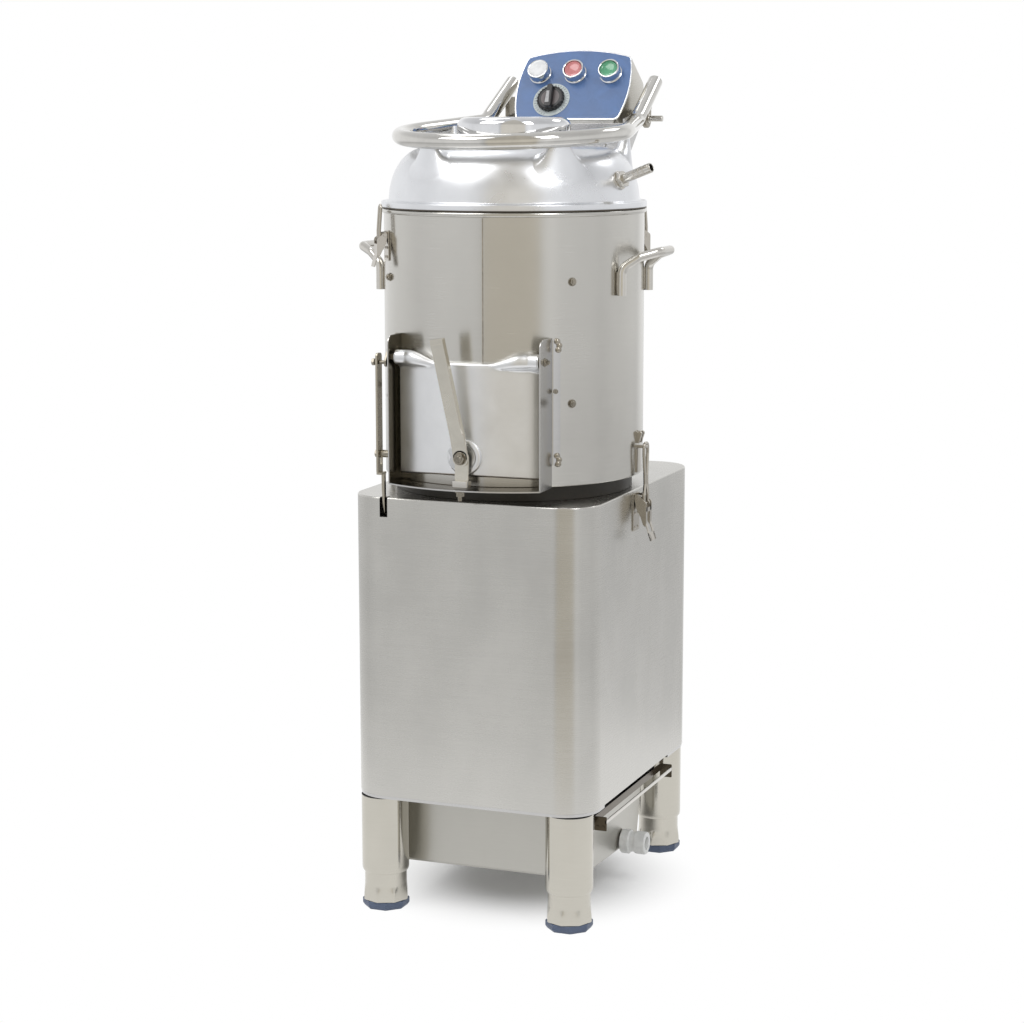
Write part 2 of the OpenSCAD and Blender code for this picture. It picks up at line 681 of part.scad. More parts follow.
column_w = 150;
column_d = 60;
column_front = drum_r + 15.5;
column_y = column_front + column_d / 2;
cable_hole_r = 14;
hinge_y = drum_r + 75.5;
hinge_z = rim_z + 116;
hinge_r = 6;
panel_y = drum_r + 27.5;
panel_z = rim_z + 114;

// Children in the panel's own frame: x to the right, y up the slope, z out of the panel.
module on_panel(u = 0, v = 0) {
    translate([0, panel_y, panel_z]) rotate([90 - panel_tilt, 0, 0]) translate([u, v, 0]) children();
}
// The panel's outline: bowed sides, an arched top and a flat foot.
panel_side_r = 168;
panel_top_r = 262;
module panel_outline(inset) {
    intersection() {
        translate([panel_half_w - panel_side_r, 55])
            circle(r = panel_side_r - inset, $fn = 180);
        translate([panel_side_r - panel_half_w, 55])
            circle(r = panel_side_r - inset, $fn = 180);
        translate([0, panel_len - panel_top_r]) circle(r = panel_top_r - inset, $fn = 180);
        translate([-panel_half_w, inset]) square([2 * panel_half_w, panel_len]);
    }
}
module column() color(steel) placed() difference() {
    translate([-column_w / 2, column_front, cabinet_top])
        cube([column_w, column_d, panel_z - cabinet_top]);
    translate([-column_w / 2 + 2, column_front + 2, cabinet_top - cut])
        cube([column_w - 4, column_d - 4, panel_z - cabinet_top + 2 * cut]);
    on_panel() translate([-column_w, 0, -box_depth - 40])
        cube([2 * column_w, panel_len, box_depth + 80]);
    translate([0, column_y, cabinet_top - cut]) cylinder(r = cable_hole_r, h = 1);
}

saddle_half = 92;
saddle_t = 3;
saddle_z = rim_z + 70;
module hinge_brackets() color(steel) placed() {
    translate([-saddle_half, column_front - saddle_t, saddle_z])
        cube([2 * saddle_half, saddle_t, 40]);
    for (sx = [-1, 1]) {
        translate([sx * (saddle_half - saddle_t / 2) - saddle_t / 2, 0, 0])
            rotate([90, 0, 90]) linear_extrude(saddle_t) {
                polygon([[column_front - saddle_t, saddle_z], [column_front + 24, saddle_z],
                    [hinge_y + 10, hinge_z - 5], [hinge_y, hinge_z + 10],
                    [column_front - saddle_t, saddle_z + 46]]);
                translate([hinge_y, hinge_z]) circle(r = 11);
            }
        translate([sx * saddle_half, hinge_y, hinge_z]) rotate([0, sx * 90, 0])
            cylinder(r = hinge_r, h = 35);
    }
}
module limit_switches() color(rubber_black) placed() {
    // lid switch on the column's left side
    translate([-column_w / 2 - 15, column_front + 20, hinge_z - 76]) cube([15, 30, 22]);
    // door switch under the interlock slot
    translate([notch_x - 4, cabinet_front + sheet, cabinet_top - notch_h - 34])
        cube([16, 18, 28]);
}

box_wall = 2;
module control_box() color(steel) placed() on_panel() difference() {
    translate([0, 0, -box_depth]) linear_extrude(box_depth) panel_outline(0);
    translate([0, 0, -box_depth + box_wall]) linear_extrude(box_depth) panel_outline(box_wall);
    translate([0, 15, -30]) rotate([90, 0, 0]) cylinder(r = cable_hole_r, h = 30);
}

panel_t = 2;
button_v = 75;
timer_u = -28;
timer_v = 32;
bezel_h = 14;
module fascia() color(blue) placed() on_panel() difference() {
    linear_extrude(panel_t) panel_outline(0);
    for (u = [-1, 0, 1]) translate([u * button_pitch, button_v, -cut])
        cylinder(r = 11.2, h = panel_t + 2 * cut);
    translate([timer_u, timer_v, -cut]) cylinder(r = 5, h = panel_t + 2 * cut);
}
module pilot_lamp() color(white) placed() on_panel(-button_pitch, button_v) {
    translate([0, 0, panel_t]) cylinder(r = bezel_r, h = bezel_h - 2);
    translate([0, 0, panel_t - 8]) cylinder(r = 11, h = 8 + eps);
    intersection() {
        translate([0, 0, panel_t + bezel_h - 2 - eps]) cylinder(r = bezel_r - 1.5, h = 6);
        translate([0, 0, panel_t + bezel_h + 4 - 30]) sphere(r = 30);
    }
}
module button_bezels() color(steel) placed() for (u = [0, 1])
    on_panel(u * button_pitch, button_v) difference() {
        union() {
            translate([0, 0, panel_t]) cylinder(r = bezel_r, h = bezel_h);
            translate([0, 0, panel_t - 8]) cylinder(r = 11, h = 8 + eps);
        }
        translate([0, 0, panel_t - 9]) cylinder(r = 5, h = bezel_h);
        translate([0, 0, panel_t + 4]) cylinder(r = cap_button_r + seat_gap, h = bezel_h);
    }
cap_button_r = 11.4;
module push_button() {
    difference() {
        union() {
            translate([0, 0, panel_t + 4 + button_travel + 0.5])
                cylinder(r = cap_button_r, h = bezel_h - 5 - button_travel);
            translate([0, 0, panel_t - 8]) cylinder(r = 4.6, h = 14 + button_travel);
        }
        translate([0, 0, panel_t + bezel_h - 0.5 + 26 - 2.5]) sphere(r = 26);
    }
}
module start_button() color([0.05, 0.45, 0.25]) placed()
    on_panel(button_pitch, button_v) push_button();
module stop_button() color([0.80, 0.15, 0.15]) placed() on_panel(0, button_v) push_button();

dial_r = 25.5;
dial_t = 1;
module timer_dial() color(white) placed() on_panel(timer_u, timer_v)
    translate([0, 0, panel_t]) tube(5, dial_r, dial_t);
module timer_knob() color(rubber_black) placed() on_panel(timer_u, timer_v) {
    translate([0, 0, panel_t + dial_t + 0.5]) linear_extrude(11) {
        circle(r = knob_r);
        for (a = [0 : 15 : 345]) rotate(a) translate([knob_r - 0.4, 0]) circle(r = 1.1, $fn = 16);
    }
    translate([-5.5, -knob_r + 1, panel_t + dial_t + 10]) cube([11, 2 * knob_r - 2, 10]);
    translate([0, 0, -6]) cylinder(r = 3, h = panel_t + dial_t + 7);
}
// Timer mechanism and contact blocks behind the panel.
module switch_gear() color(rubber_black) placed() on_panel() {
    translate([timer_u, timer_v, 0]) difference() {
        translate([-22, -22, -40]) cube([44, 44, 40]);
        translate([0, 0, -12]) cylinder(r = 3 + running_gap, h = 13);
    }
    for (u = [-1, 0, 1]) translate([u * button_pitch, button_v, 0]) difference() {
        translate([-11, -11, -42]) cube([22, 22, 42 + panel_t - 8]);
        translate([0, 0, -14]) cylinder(r = 5, h = 14);
    }
}

// ---------------------------------------------------------------- lid

flange_t = 8;
dome_wall = 5;
dome_side = 49.5;    // radial reach of the dome's rounded shoulder
dome_flat_r = 118;
dome_foot = lid_z + flange_t;
// One point of the dome's shoulder, an ellipse quarter, pulled in by a wall.
function shoulder(t, wall) = [dome_flat_r + (dome_side - wall) * cos(t),
    dome_foot + (dome_h - wall) * sin(t)];
module dome_outline() {
    polygon(concat([for (t = [0 : 6 : 90]) shoulder(t, 0)],
        [[40, dome_foot + dome_h], [40, dome_foot]]));
}
module lid_dome() color(cast) placed() difference() {
    rotate_extrude() {
        translate([dome_flat_r + dome_side - dome_wall, lid_z])
            square([flange_r - dome_flat_r - dome_side + dome_wall, flange_t]);
        difference() {
            dome_outline();
            polygon(concat([for (t = [0 : 6 : 90]) shoulder(t, dome_wall)],
                [[30, dome_foot + dome_h - dome_wall], [30, dome_foot - 1],
                [dome_flat_r + dome_side - dome_wall, dome_foot - 1]]));
        }
    }
    at_inlet() translate([0, 0, -20]) cylinder(r = inlet_r, h = 40);
}
cap_edge = 12;
module lid_cap() color(cast) placed() translate([0, 0, dome_foot + dome_h]) {
    cylinder(r = cap_r, h = cap_h - cap_edge);
    cylinder(r = cap_r - cap_edge, h = cap_h);
    translate([0, 0, cap_h - cap_edge]) rotate_extrude()
        translate([cap_r - cap_edge, 0]) intersection() {
            circle(r = cap_edge);
            square(cap_edge);
        }
}
inlet_r = 6.5;
inlet_az = -12;
inlet_tilt = 20;
inlet_len = 60;
// Children on the dome's shoulder, with +Z along the inlet.
module at_inlet() {
    rotate([0, 0, inlet_az]) translate([dome_flat_r + dome_side - 12, 0, dome_foot + dome_h * 0.36])
        rotate([0, 90 - inlet_tilt, 0]) children();
}
module water_inlet() color(steel) placed() at_inlet() difference() {
    union() {
        translate([0, 0, -12]) cylinder(r = inlet_r, h = inlet_len + 12);
        translate([0, 0, 10]) cylinder(r = 12, h = 7, $fn = 6);
    }
    translate([0, 0, -13]) cylinder(r = inlet_r - 2, h = inlet_len + 20);
}
module lid_gasket() color(rubber_black) placed() translate([0, 0, rim_z + seat_gap])
    tube(flange_r - 9, flange_r - 0.6, lid_z - rim_z - seat_gap);

ring_turn = 14;      // azimuth at which the ring's circle runs out into its flanks
flank_end = [112, drum_r + 4.5];
arm_end = [108, drum_r + 98, rim_z + 167];
arm_bend = 50;
post_r = 7;
posts = [[-116, ring_r - 2], [-46, ring_r - 2], [36, ring_r + 8], [144, ring_r + 8]];
lug_x = 100;
lug_t = 6;
// A point of the ring's sloping plane, over a point of the level plane at its front.
function on_ring(x, y) =
    [x, (y + ring_r) * cos(ring_rise) - ring_r, ring_z + (y + ring_r) * sin(ring_rise)];
module lid_ring() color(steel) placed() {
    translate([0, -ring_r, ring_z]) rotate([ring_rise, 0, 0]) translate([0, ring_r, 0])
        rotate([0, 0, 180 - ring_turn]) rotate_extrude(angle = 180 + 2 * ring_turn)
            translate([ring_r, 0]) circle(r = tube_r);
    for (sx = [-1, 1]) {
        tip = on_ring(sx * ring_r * cos(ring_turn), ring_r * sin(ring_turn));
        end = [sx * arm_end[0], arm_end[1], arm_end[2]];
        bent_rod([tip, on_ring(sx * flank_end[0], flank_end[1]), end], tube_r, arm_bend);
        for (p = [tip, end]) translate(p) sphere(r = ball_ratio * tube_r);
        difference() {
            translate([sx * (lug_x + lug_t / 2) - lug_t / 2, 0, 0])
                rotate([90, 0, 90]) linear_extrude(lug_t) {
                    translate([hinge_y, hinge_z]) circle(r = 13);
                    translate([hinge_y - 13, hinge_z]) square([26, 30]);
                }
            translate([0, hinge_y, hinge_z]) rotate([0, 90, 0])
                cylinder(r = hinge_r + running_gap, h = 300, center = true);
        }
    }
    // posts from the dome up to the ring, each given by its azimuth and radius
    difference() {
        for (p = posts) rotate([0, 0, p[0]]) translate([p[1], 0, dome_foot + 20])
            cylinder(r = post_r, h = ring_h - (dome_foot + 20 - rim_z)
                + (p[1] * sin(p[0]) + ring_r) * tan(ring_rise));
        rotate_extrude() dome_outline();
    }
}

// ---------------------------------------------------------------- door

door_in = drum_r + 3.5;
door_t = 8;
door_z = drum_z + 16;
door_top_mid = drum_z + door_hinge_h - 3;
door_top_side = drum_z + door_hinge_h + 8;
door_half = frame_half - 6;
boss_r = 10;
boss_len = 21;       // length of a hinge barrel, which stands past the panel's edge by 2
lever_x = 4;
lever_z = drum_z + 41;
lever_y = -(door_in + door_t + 12);
lever_bolt_r = 5;
// The door's upper edge dips in the middle, where it turns in past the drum's wall.
module door_top_outline() {
    half_dip = 36;
    polygon(concat([[-door_half, door_z], [door_half, door_z], [door_half, door_top_side]],
        [for (i = [0 : 12]) let(x = door_half - 8 - i * (door_half - 8 - half_dip) / 12)
            [x, door_top_mid + (door_top_side - door_top_mid) * (1 + cos(180 * i / 12)) / 2]],
        [for (i = [12 : -1 : 0]) let(x = door_half - 8 - i * (door_half - 8 - half_dip) / 12)
            [-x, door_top_mid + (door_top_side - door_top_mid) * (1 + cos(180 * i / 12)) / 2]],
        [[-door_half, door_top_side]]));
}
module door_panel() color(cast) placed() difference() {
    union() {
        intersection() {
            translate([0, 0, door_z]) tube(door_in, door_in + door_t, 220);
            translate([0, -100, 0]) rotate([90, 0, 0]) linear_extrude(150) door_top_outline();
        }
        for (sx = [-1, 1])
            translate([sx * (door_half + 2 - boss_len / 2), -door_hinge_y, drum_z + door_hinge_h])
                rotate([0, 90, 0]) cylinder(r = boss_r, h = boss_len, center = true);
        translate([lever_x, lever_y + 4, lever_z]) rotate([-90, 0, 0]) cylinder(r = 25, h = 14);
    }
    translate([-150, -door_hinge_y, drum_z + door_hinge_h]) rotate([0, 90, 0])
        cylinder(r = door_pin_r, h = 300);
    translate([lever_x, -300, lever_z]) rotate([-90, 0, 0]) cylinder(r = lever_bolt_r, h = 200);
}
// The lever's foot below the pivot: it clears the sill as the lever turns.
foot_half = 11;
foot_low = sqrt(pow(lever_z - drum_z - 1 - seat_gap, 2) - pow(foot_half + 0.5, 2));
module lever_post() color(steel) placed() difference() {
    union() {
        translate([lever_x - 9.5, lever_y, lever_z - foot_low + 9])
            cube([19, 3.4, foot_low - 9]);
        translate([lever_x, lever_y + 3.4, lever_z]) rotate([90, 0, 0]) cylinder(r = 9.5, h = 3.4);
        translate([lever_x - foot_half, lever_y - 7, lever_z - foot_low])
            cube([2 * foot_half, 14, 9 + eps]);
    }
    translate([lever_x, lever_y - 10, lever_z]) rotate([-90, 0, 0])
        cylinder(r = lever_bolt_r + running_gap, h = 30);
}
crank_lift = 6.3;
crank_reach = 12;
crank_x = -(frame_half + plate_t + 1);
pin_tip_r = 2.5;
module door_bolts() color(dark_steel) placed() {
    hinge_h = drum_z + door_hinge_h;
    translate([frame_half - 24, -door_hinge_y, hinge_h]) rotate([0, 90, 0]) {
        cylinder(r = door_pin_r, h = 27);
        translate([0, 0, 26.6]) cylinder(r = 6, h = 3);
    }
    translate([-frame_half + 24, -door_hinge_y, hinge_h]) rotate([0, -90, 0])
        cylinder(r = door_pin_r, h = 28);
    // crank on the left pin and its tip, which lifts the interlock rod
    translate([crank_x - 3, 0, 0]) rotate([90, 0, 90]) linear_extrude(3) {
        translate([-door_hinge_y, hinge_h]) circle(r = 8);
        translate([-door_hinge_y - crank_reach, hinge_h - crank_lift]) circle(r = 6);
        translate([-door_hinge_y, hinge_h]) rotate(atan2(-crank_lift, -crank_reach))
            translate([0, -5.2]) square([norm([crank_lift, crank_reach]), 10.4]);
    }
    translate([crank_x - 3 + eps, -door_hinge_y - crank_reach, hinge_h - crank_lift])
        rotate([0, -90, 0]) {
            cylinder(r = pin_tip_r, h = 16);
            translate([0, 0, 15]) cylinder(r = 5, h = 4, $fn = 6);
        }
    // lever bolt with its nut
    translate([lever_x, lever_y - 8, lever_z]) rotate([-90, 0, 0]) {
        cylinder(r = lever_bolt_r, h = 24);
        translate([0, 0, -5]) cylinder(r = 8, h = 5 + eps, $fn = 6);
    }
}
lever_w = 20;
lever_t = 4;
lever_bend = 8;      // forward lean of the lever's upper part, in degrees
lever_knee = 28;     // height of the bend over the pivot
lever_lip = 5;       // depth of the stiffening lip along the right edge
// The lever's side view, y forward and z up, for a strip of the given thickness.
module lever_profile(t) {
    reach = lever_len - lever_knee;
    polygon([[0, 0], [0, lever_knee],
        [-reach * sin(lever_bend), lever_knee + reach * cos(lever_bend)],
        [-reach * sin(lever_bend) - t * cos(lever_bend),
            lever_knee + reach * cos(lever_bend) - t * sin(lever_bend)],
        [-t, lever_knee - t * tan(lever_bend / 2)], [-t, 0]]);
}
module door_lever() color(steel) placed() translate([lever_x, lever_y, lever_z])
    rotate([0, -lever_lean, 0]) difference() {
        union() {
            rotate([90, 0, 0]) cylinder(r = lever_w / 2 + 1, h = lever_t);
            translate([-lever_w / 2, 0, 0]) rotate([90, 0, 90])
                linear_extrude(lever_w) lever_profile(lever_t);
            translate([lever_w / 2 - 2, 0, lever_knee]) rotate([lever_bend, 0, 0])
                translate([0, -lever_t - lever_lip, 6])
                    cube([2, lever_lip + 1, lever_len - lever_knee - 6.5]);
        }
        translate([0, -20, 0]) rotate([-90, 0, 0])
            cylinder(r = lever_bolt_r + running_gap, h = 40);
    }
rod_t = 3;
rod_travel = 2 * crank_lift;
rod_step = 5;        // sideways step between the rod and the strip below it
module interlock_rod() color(steel) placed() {
    strip_top = drum_z + 14;
    crank_y = -door_hinge_y - crank_reach;
    crank_z = drum_z + door_hinge_h - crank_lift;
    difference() {
        union() {
            translate([rod_x - rod_t, crank_y - 9, strip_top - rod_t])
                cube([rod_t, 18, crank_z + 12 - strip_top + rod_t]);
            translate([rod_x - rod_t, crank_y - 9, strip_top - rod_t])
                cube([rod_t + rod_step, 18, rod_t]);
            translate([rod_x - rod_t + rod_step, crank_y + 1, cabinet_top - notch_h + 4])
                cube([rod_t, 6, strip_top - cabinet_top + notch_h - 4]);
        }
        translate([rod_x, crank_y, crank_z]) rotate([0, 90, 0]) {
            for (dy = [-1.5, 1.5]) translate([0, dy, -10]) cylinder(r = pin_tip_r + seat_gap, h = 20);
            translate([-pin_tip_r - seat_gap, -1.5, -10]) cube([2 * (pin_tip_r + seat_gap), 3, 20]);
        }
        translate([rod_x, guide_y, guide_z]) rotate([0, -90, 0]) {
            for (dz = [-rod_travel, 0]) translate([dz, 0, -10]) cylinder(r = 3.4, h = 20);
            translate([-rod_travel, -3.4, -10]) cube([rod_travel, 6.8, 20]);
        }
    }
}

// ---------------------------------------------------------------- tray

tray_wall = 1.2;
tray_rim = runner_z + runner_t + seat_gap;
tray_draft = 6;
lip_x = cabinet_w / 2 - 20;
drain_y = 66;
drain_z = tray_floor + 6;
lip_len = 286;
lip_reach = 18;
lip_drop = 18;       // depth of the lip's end plates under the tray's rim
lip_end = 1.4;
lip_bar = [2, 7.4];  // thickness and height of the bar between the end plates
// The tray's body: a drafted box whose floor falls towards the back.
module tray_solid(wall) {
    corner = 10;
    hull() {
        for (sx = [-1, 1], e = [[tray_front + corner, 0], [tray_back - corner, tray_fall]])
            translate([sx * (tray_half_w - corner), e[0], tray_floor - e[1] + wall])
                cylinder(r = corner - wall, h = 1, $fn = 32);
        for (sx = [-1, 1], y = [tray_front - 0.2 + corner, tray_back + tray_draft - corner])
            translate([sx * (tray_half_w + tray_draft - corner), y, tray_rim + wall])
                cylinder(r = corner - wall, h = 1, $fn = 32);
    }
}
module filter_tray() color(steel) placed() difference() {
    union() {
        tray_solid(0);
        translate([-tray_half_w - 8, rim_front, tray_rim])
            cube([lip_x + tray_half_w + 8, rim_back - rim_front, 1.2]);
        // pull lip: a bar along the right side, between two end plates
        translate([lip_x - eps, rim_front + 12, tray_rim - lip_drop / 2])
            cube([tray_wall, lip_len, lip_drop / 2 + tray_wall]);
        for (y = [0, lip_len - lip_end])
            translate([lip_x - eps, rim_front + 12 + y, tray_rim - lip_drop])
                cube([lip_reach, lip_end, lip_drop + tray_wall]);
        translate([lip_x - eps + lip_reach - lip_bar[0], rim_front + 12, tray_rim - 9.8])
            cube([lip_bar[0], lip_len, lip_bar[1]]);
    }
    tray_solid(tray_wall);
    translate([tray_half_w - 20, drain_y, drain_z]) rotate([0, 90, 0]) cylinder(r = 11, h = 60);
}
module drain_connector() color(white) placed()
    translate([tray_half_w + 1.4, drain_y, drain_z]) rotate([0, 90, 0]) difference() {
        union() {
            translate([0, 0, -6]) cylinder(r = 10.8, h = 20);
            translate([0, 0, 2]) cylinder(r = 17, h = 13, $fn = 12);
            translate([0, 0, 15 - eps]) cylinder(r = 14, h = 7);
            translate([0, 0, 22 - 2 * eps]) cylinder(r = 16, h = 16);
        }
        translate([0, 0, -7]) cylinder(r = 8.5, h = 60);
    }
module filter_basket() color(steel) placed() difference() {
    union() {
        translate([-tray_half_w + 6, tray_front + 6, tray_floor + 16])
            cube([2 * tray_half_w - 12, tray_d - 12, tray_rim - tray_floor - 16 + 2.4]);
        translate([-tray_half_w - 2, tray_front - 2, tray_rim + 1.2])
            cube([2 * tray_half_w + 4, tray_d + 4, 1.2]);
    }
    translate([-tray_half_w + 7.2, tray_front + 7.2, tray_floor + 17.2])
        cube([2 * tray_half_w - 14.4, tray_d - 14.4, 200]);
    for (i = [-5 : 5]) translate([i * 22 - 4, tray_front + 20, tray_floor])
        cube([8, tray_d - 40, 30]);
}

// The middle of the plan: halfway between the lever's lip and the control box's back.
box_back_y = panel_y + panel_len * sin(panel_tilt) + box_depth * cos(panel_tilt);
lever_front_y = lever_y - (lever_t + lever_lip) * cos(lever_bend)
    - (lever_len - lever_knee - 0.5) * sin(lever_bend);
origin_y = -(box_back_y + lever_front_y) / 2;

cabinet_shell();
under_frame();
leg_sleeves();
feet();
foot_pads();
drum_deck();
bearing_housing();
shaft_bearings();
shaft_seal();
motor_body();
drive_belt();
contactor();
cable_gland();
drum_shell();
drum_seat();
drum_outlet();
abrasive_liner();
drum_screws();
door_frame();
side_handle_left();
side_handle_right();
latch_bases();
drum_catches();
column();
hinge_brackets();
limit_switches();
control_box();
fascia();
pilot_lamp();
button_bezels();
timer_dial();
switch_gear();
lid_dome();
lid_cap();
lid_ring();
water_inlet();
lid_gasket();
door_panel();
lever_post();
door_bolts();
door_lever();
interlock_rod();
filter_tray();
drain_connector();
filter_basket();
abrasive_disc();
drive_shaft();
driven_pulley();
motor_pulley();
timer_knob();
start_button();
stop_button();
lid_latch_lever_front();
lid_latch_hook_front();
lid_latch_lever_rear();
lid_latch_hook_rear();
base_latch_lever_left();
base_latch_hook_left();
base_latch_lever_right();
base_latch_hook_right();
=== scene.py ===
from collections import namedtuple
from math import asin, atan2, ceil, cos, degrees, hypot, pi, radians, sin, sqrt, tan

import bmesh
import bpy
from mathutils import Matrix, Vector


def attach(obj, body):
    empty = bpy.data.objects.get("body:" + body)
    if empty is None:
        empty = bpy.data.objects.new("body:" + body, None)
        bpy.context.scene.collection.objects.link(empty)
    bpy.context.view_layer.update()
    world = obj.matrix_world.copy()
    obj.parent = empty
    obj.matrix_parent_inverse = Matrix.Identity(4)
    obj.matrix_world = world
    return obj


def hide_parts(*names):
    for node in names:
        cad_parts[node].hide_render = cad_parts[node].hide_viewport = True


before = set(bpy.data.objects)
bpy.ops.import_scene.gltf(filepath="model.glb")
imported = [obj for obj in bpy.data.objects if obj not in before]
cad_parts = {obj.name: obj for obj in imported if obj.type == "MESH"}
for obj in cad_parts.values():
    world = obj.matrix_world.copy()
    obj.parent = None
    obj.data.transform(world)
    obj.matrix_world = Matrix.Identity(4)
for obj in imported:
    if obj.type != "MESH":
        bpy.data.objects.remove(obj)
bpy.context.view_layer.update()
scene = bpy.context.scene
scene.view_settings.view_transform = "Standard"

# Sizes are in millimetres round the drum's axis. The frame's origin lies this far behind that axis.
MM = 0.001
AXIS_Y = -47.3785
TO_FRAME = Matrix.Scale(MM, 4) @ Matrix.Translation((0, AXIS_Y, 0))


# ---------------------------------------------------------------- camera

def set_camera():
    """A long lens at chest height, to the right of the door, looking slightly down."""
    lens = bpy.data.cameras.new("camera")
    lens.sensor_fit, lens.sensor_width, lens.lens = "HORIZONTAL", 36, 85.71
    lens.clip_end = 60
    camera = bpy.data.objects.new("camera", lens)
    scene.collection.objects.link(camera)
    ahead = Vector((-0.35940, 0.91885, -0.16294)).normalized()
    right = ahead.cross(Vector((0, 0, 1))).normalized()
    up = right.cross(ahead)
    roll = radians(-0.076)
    side = right * cos(roll) + up * sin(roll)
    turn = Matrix((side, side.cross(ahead), -ahead)).transposed().to_4x4()
    camera.matrix_world = Matrix.Translation((1.19418, -3.06240 + AXIS_Y * MM, 1.07273)) @ turn
    scene.camera = camera


set_camera()


# ---------------------------------------------------------------- finishes

class Finish:
    """One material: its shader, and short ways to lay the patterns that drive it."""

    def __init__(self, name, colour, metal=0.0, rough=0.5, **sockets):
        self.material = bpy.data.materials.new(name)
        self.material.use_nodes = True
        self.tree = self.material.node_tree
        self.shader = self.tree.nodes["Principled BSDF"]
        self.colour = colour
        self.set("Base Color", (*colour, 1))
        self.set("Metallic", metal)
        self.set("Roughness", rough)
        for socket, value in sockets.items():
            self.set(socket.replace("_", " "), value)
        self.place = self.tree.nodes.new("ShaderNodeTexCoord").outputs["Object"]
        self.normal = None

    def set(self, socket, value):
        self.shader.inputs[socket].default_value = value

    def join(self, source, target):
        self.tree.links.new(source, target)

    def stretched(self, stretch):
        mapping = self.tree.nodes.new("ShaderNodeMapping")
        mapping.inputs["Scale"].default_value = stretch
        self.join(self.place, mapping.inputs["Vector"])
        return mapping.outputs[0]

    def noise(self, size, stretch=(1, 1, 1), detail=3.0, rough=0.55, warp=0.0):
        """Cloudy pattern whose features are about size millimetres wide."""
        node = self.tree.nodes.new("ShaderNodeTexNoise")
        node.inputs["Scale"].default_value = 1000 / size
        node.inputs["Detail"].default_value = detail
        node.inputs["Roughness"].default_value = rough
        node.inputs["Distortion"].default_value = warp
        self.join(self.stretched(stretch), node.inputs["Vector"])
        return node.outputs[0]

    def cells(self, size):
        """Distance to the middle of the nearest of many cells about size millimetres wide."""
        node = self.tree.nodes.new("ShaderNodeTexVoronoi")
        node.inputs["Scale"].default_value = 1000 / size
        self.join(self.stretched((1, 1, 1)), node.inputs["Vector"])
        return node.outputs["Distance"]

    def between(self, value, low, high, start=0.3, end=0.7):
        """A number that goes from low to high while the pattern goes from start to end."""
        node = self.tree.nodes.new("ShaderNodeMapRange")
        for socket, v in zip(("From Min", "From Max", "To Min", "To Max"), (start, end, low, high)):
            node.inputs[socket].default_value = v
        self.join(value, node.inputs["Value"])
        return node.outputs[0]

    def maths(self, work, a, b):
        node = self.tree.nodes.new("ShaderNodeMath")
        node.operation = work
        for socket, v in zip(node.inputs, (a, b)):
            if isinstance(v, (int, float)):
                socket.default_value = v
            else:
                self.join(v, socket)
        return node.outputs[0]

    def tint(self, value, dark, light, start=0.3, end=0.7):
        """Base colour that goes from dark to light, as factors of the plain colour, with the pattern."""
        ramp = self.tree.nodes.new("ShaderNodeValToRGB")
        for stop, at, factor in zip(ramp.color_ramp.elements, (start, end), (dark, light)):
            factor = factor if isinstance(factor, tuple) else (factor,) * 3
            stop.position = at
            stop.color = (*[min(c * f, 1) for c, f in zip(self.colour, factor)], 1)
        self.join(value, ramp.inputs[0])
        self.join(ramp.outputs[0], self.shader.inputs["Base Color"])

    def roughen(self, value, low, high, start=0.3, end=0.7):
        self.join(self.between(value, low, high, start, end), self.shader.inputs["Roughness"])

    def bump(self, value, height, strength=1.0):
        """Relief of the given height in millimetres, on top of the relief laid before."""
        node = self.tree.nodes.new("ShaderNodeBump")
        node.inputs["Distance"].default_value = height * MM
        node.inputs["Strength"].default_value = strength
        self.join(value, node.inputs["Height"])
        if self.normal:
            self.join(self.normal, node.inputs["Normal"])
        self.normal = node.outputs[0]
        self.join(self.normal, self.shader.inputs["Normal"])


def steel_sheet(name, colour, rough, grain, waves=0.25, spread=0.05):
    """Ground sheet steel: level grain that smears reflections upright, cloudy tone, slightly wavy sheet."""
    f = Finish(name, colour, 1.0, rough, Anisotropic=0.6)
    upright = f.tree.nodes.new("ShaderNodeCombineXYZ")
    for socket, v in zip(upright.inputs, (0.02, 0.12, 1)):
        socket.default_value = v
    f.join(upright.outputs[0], f.shader.inputs["Tangent"])
    lines = f.noise(3.0, (0.06, 0.06, grain), 3, 0.6)
    clouds = f.noise(70, (1, 1, 0.6), 3, 0.5)
    tone = f.maths("ADD", f.maths("MULTIPLY", lines, 0.45), f.maths("MULTIPLY", clouds, 0.55))
    f.tint(tone, 0.95, 1.05, 0.35, 0.65)
    f.roughen(tone, rough - spread, rough + spread)
    f.bump(f.noise(95, (1, 1, 0.55), 1, 0.4), waves, 0.6)
    f.bump(lines, 0.003, 0.35)
    return f.material


def polished(name, colour, rough, smudge=0.05):
    """Bright metal with faint smudges and hairline scratches."""
    f = Finish(name, colour, 1.0, rough)
    smudges = f.noise(22, (1, 1, 1), 4, 0.6, 0.4)
    hairs = f.noise(1.5, (1, 0.12, 0.06), 2, 0.5)
    f.tint(smudges, 0.94, 1.03)
    f.roughen(smudges, max(rough - smudge, 0.03), rough + smudge)
    f.bump(f.noise(30, (1, 1, 1), 1, 0.4), 0.06, 0.5)
    f.bump(hairs, 0.002, 0.3)
    return f.material


def cast_metal(name, colour, rough, pits=0.03):
    """Satin casting: soft polish marks, very fine pits and a slight cloudiness."""
    f = Finish(name, colour, 1.0, rough)
    clouds = f.noise(38, (1, 1, 1), 4, 0.55, 0.3)
    f.tint(clouds, 0.96, 1.03)
    f.roughen(clouds, rough - 0.04, rough + 0.05)
    f.bump(f.noise(60, (1, 1, 1), 1, 0.4), 0.18, 0.5)
    f.bump(f.noise(1.6, (1, 1, 1), 2, 0.6), pits * 0.4, 0.3)
    return f.material


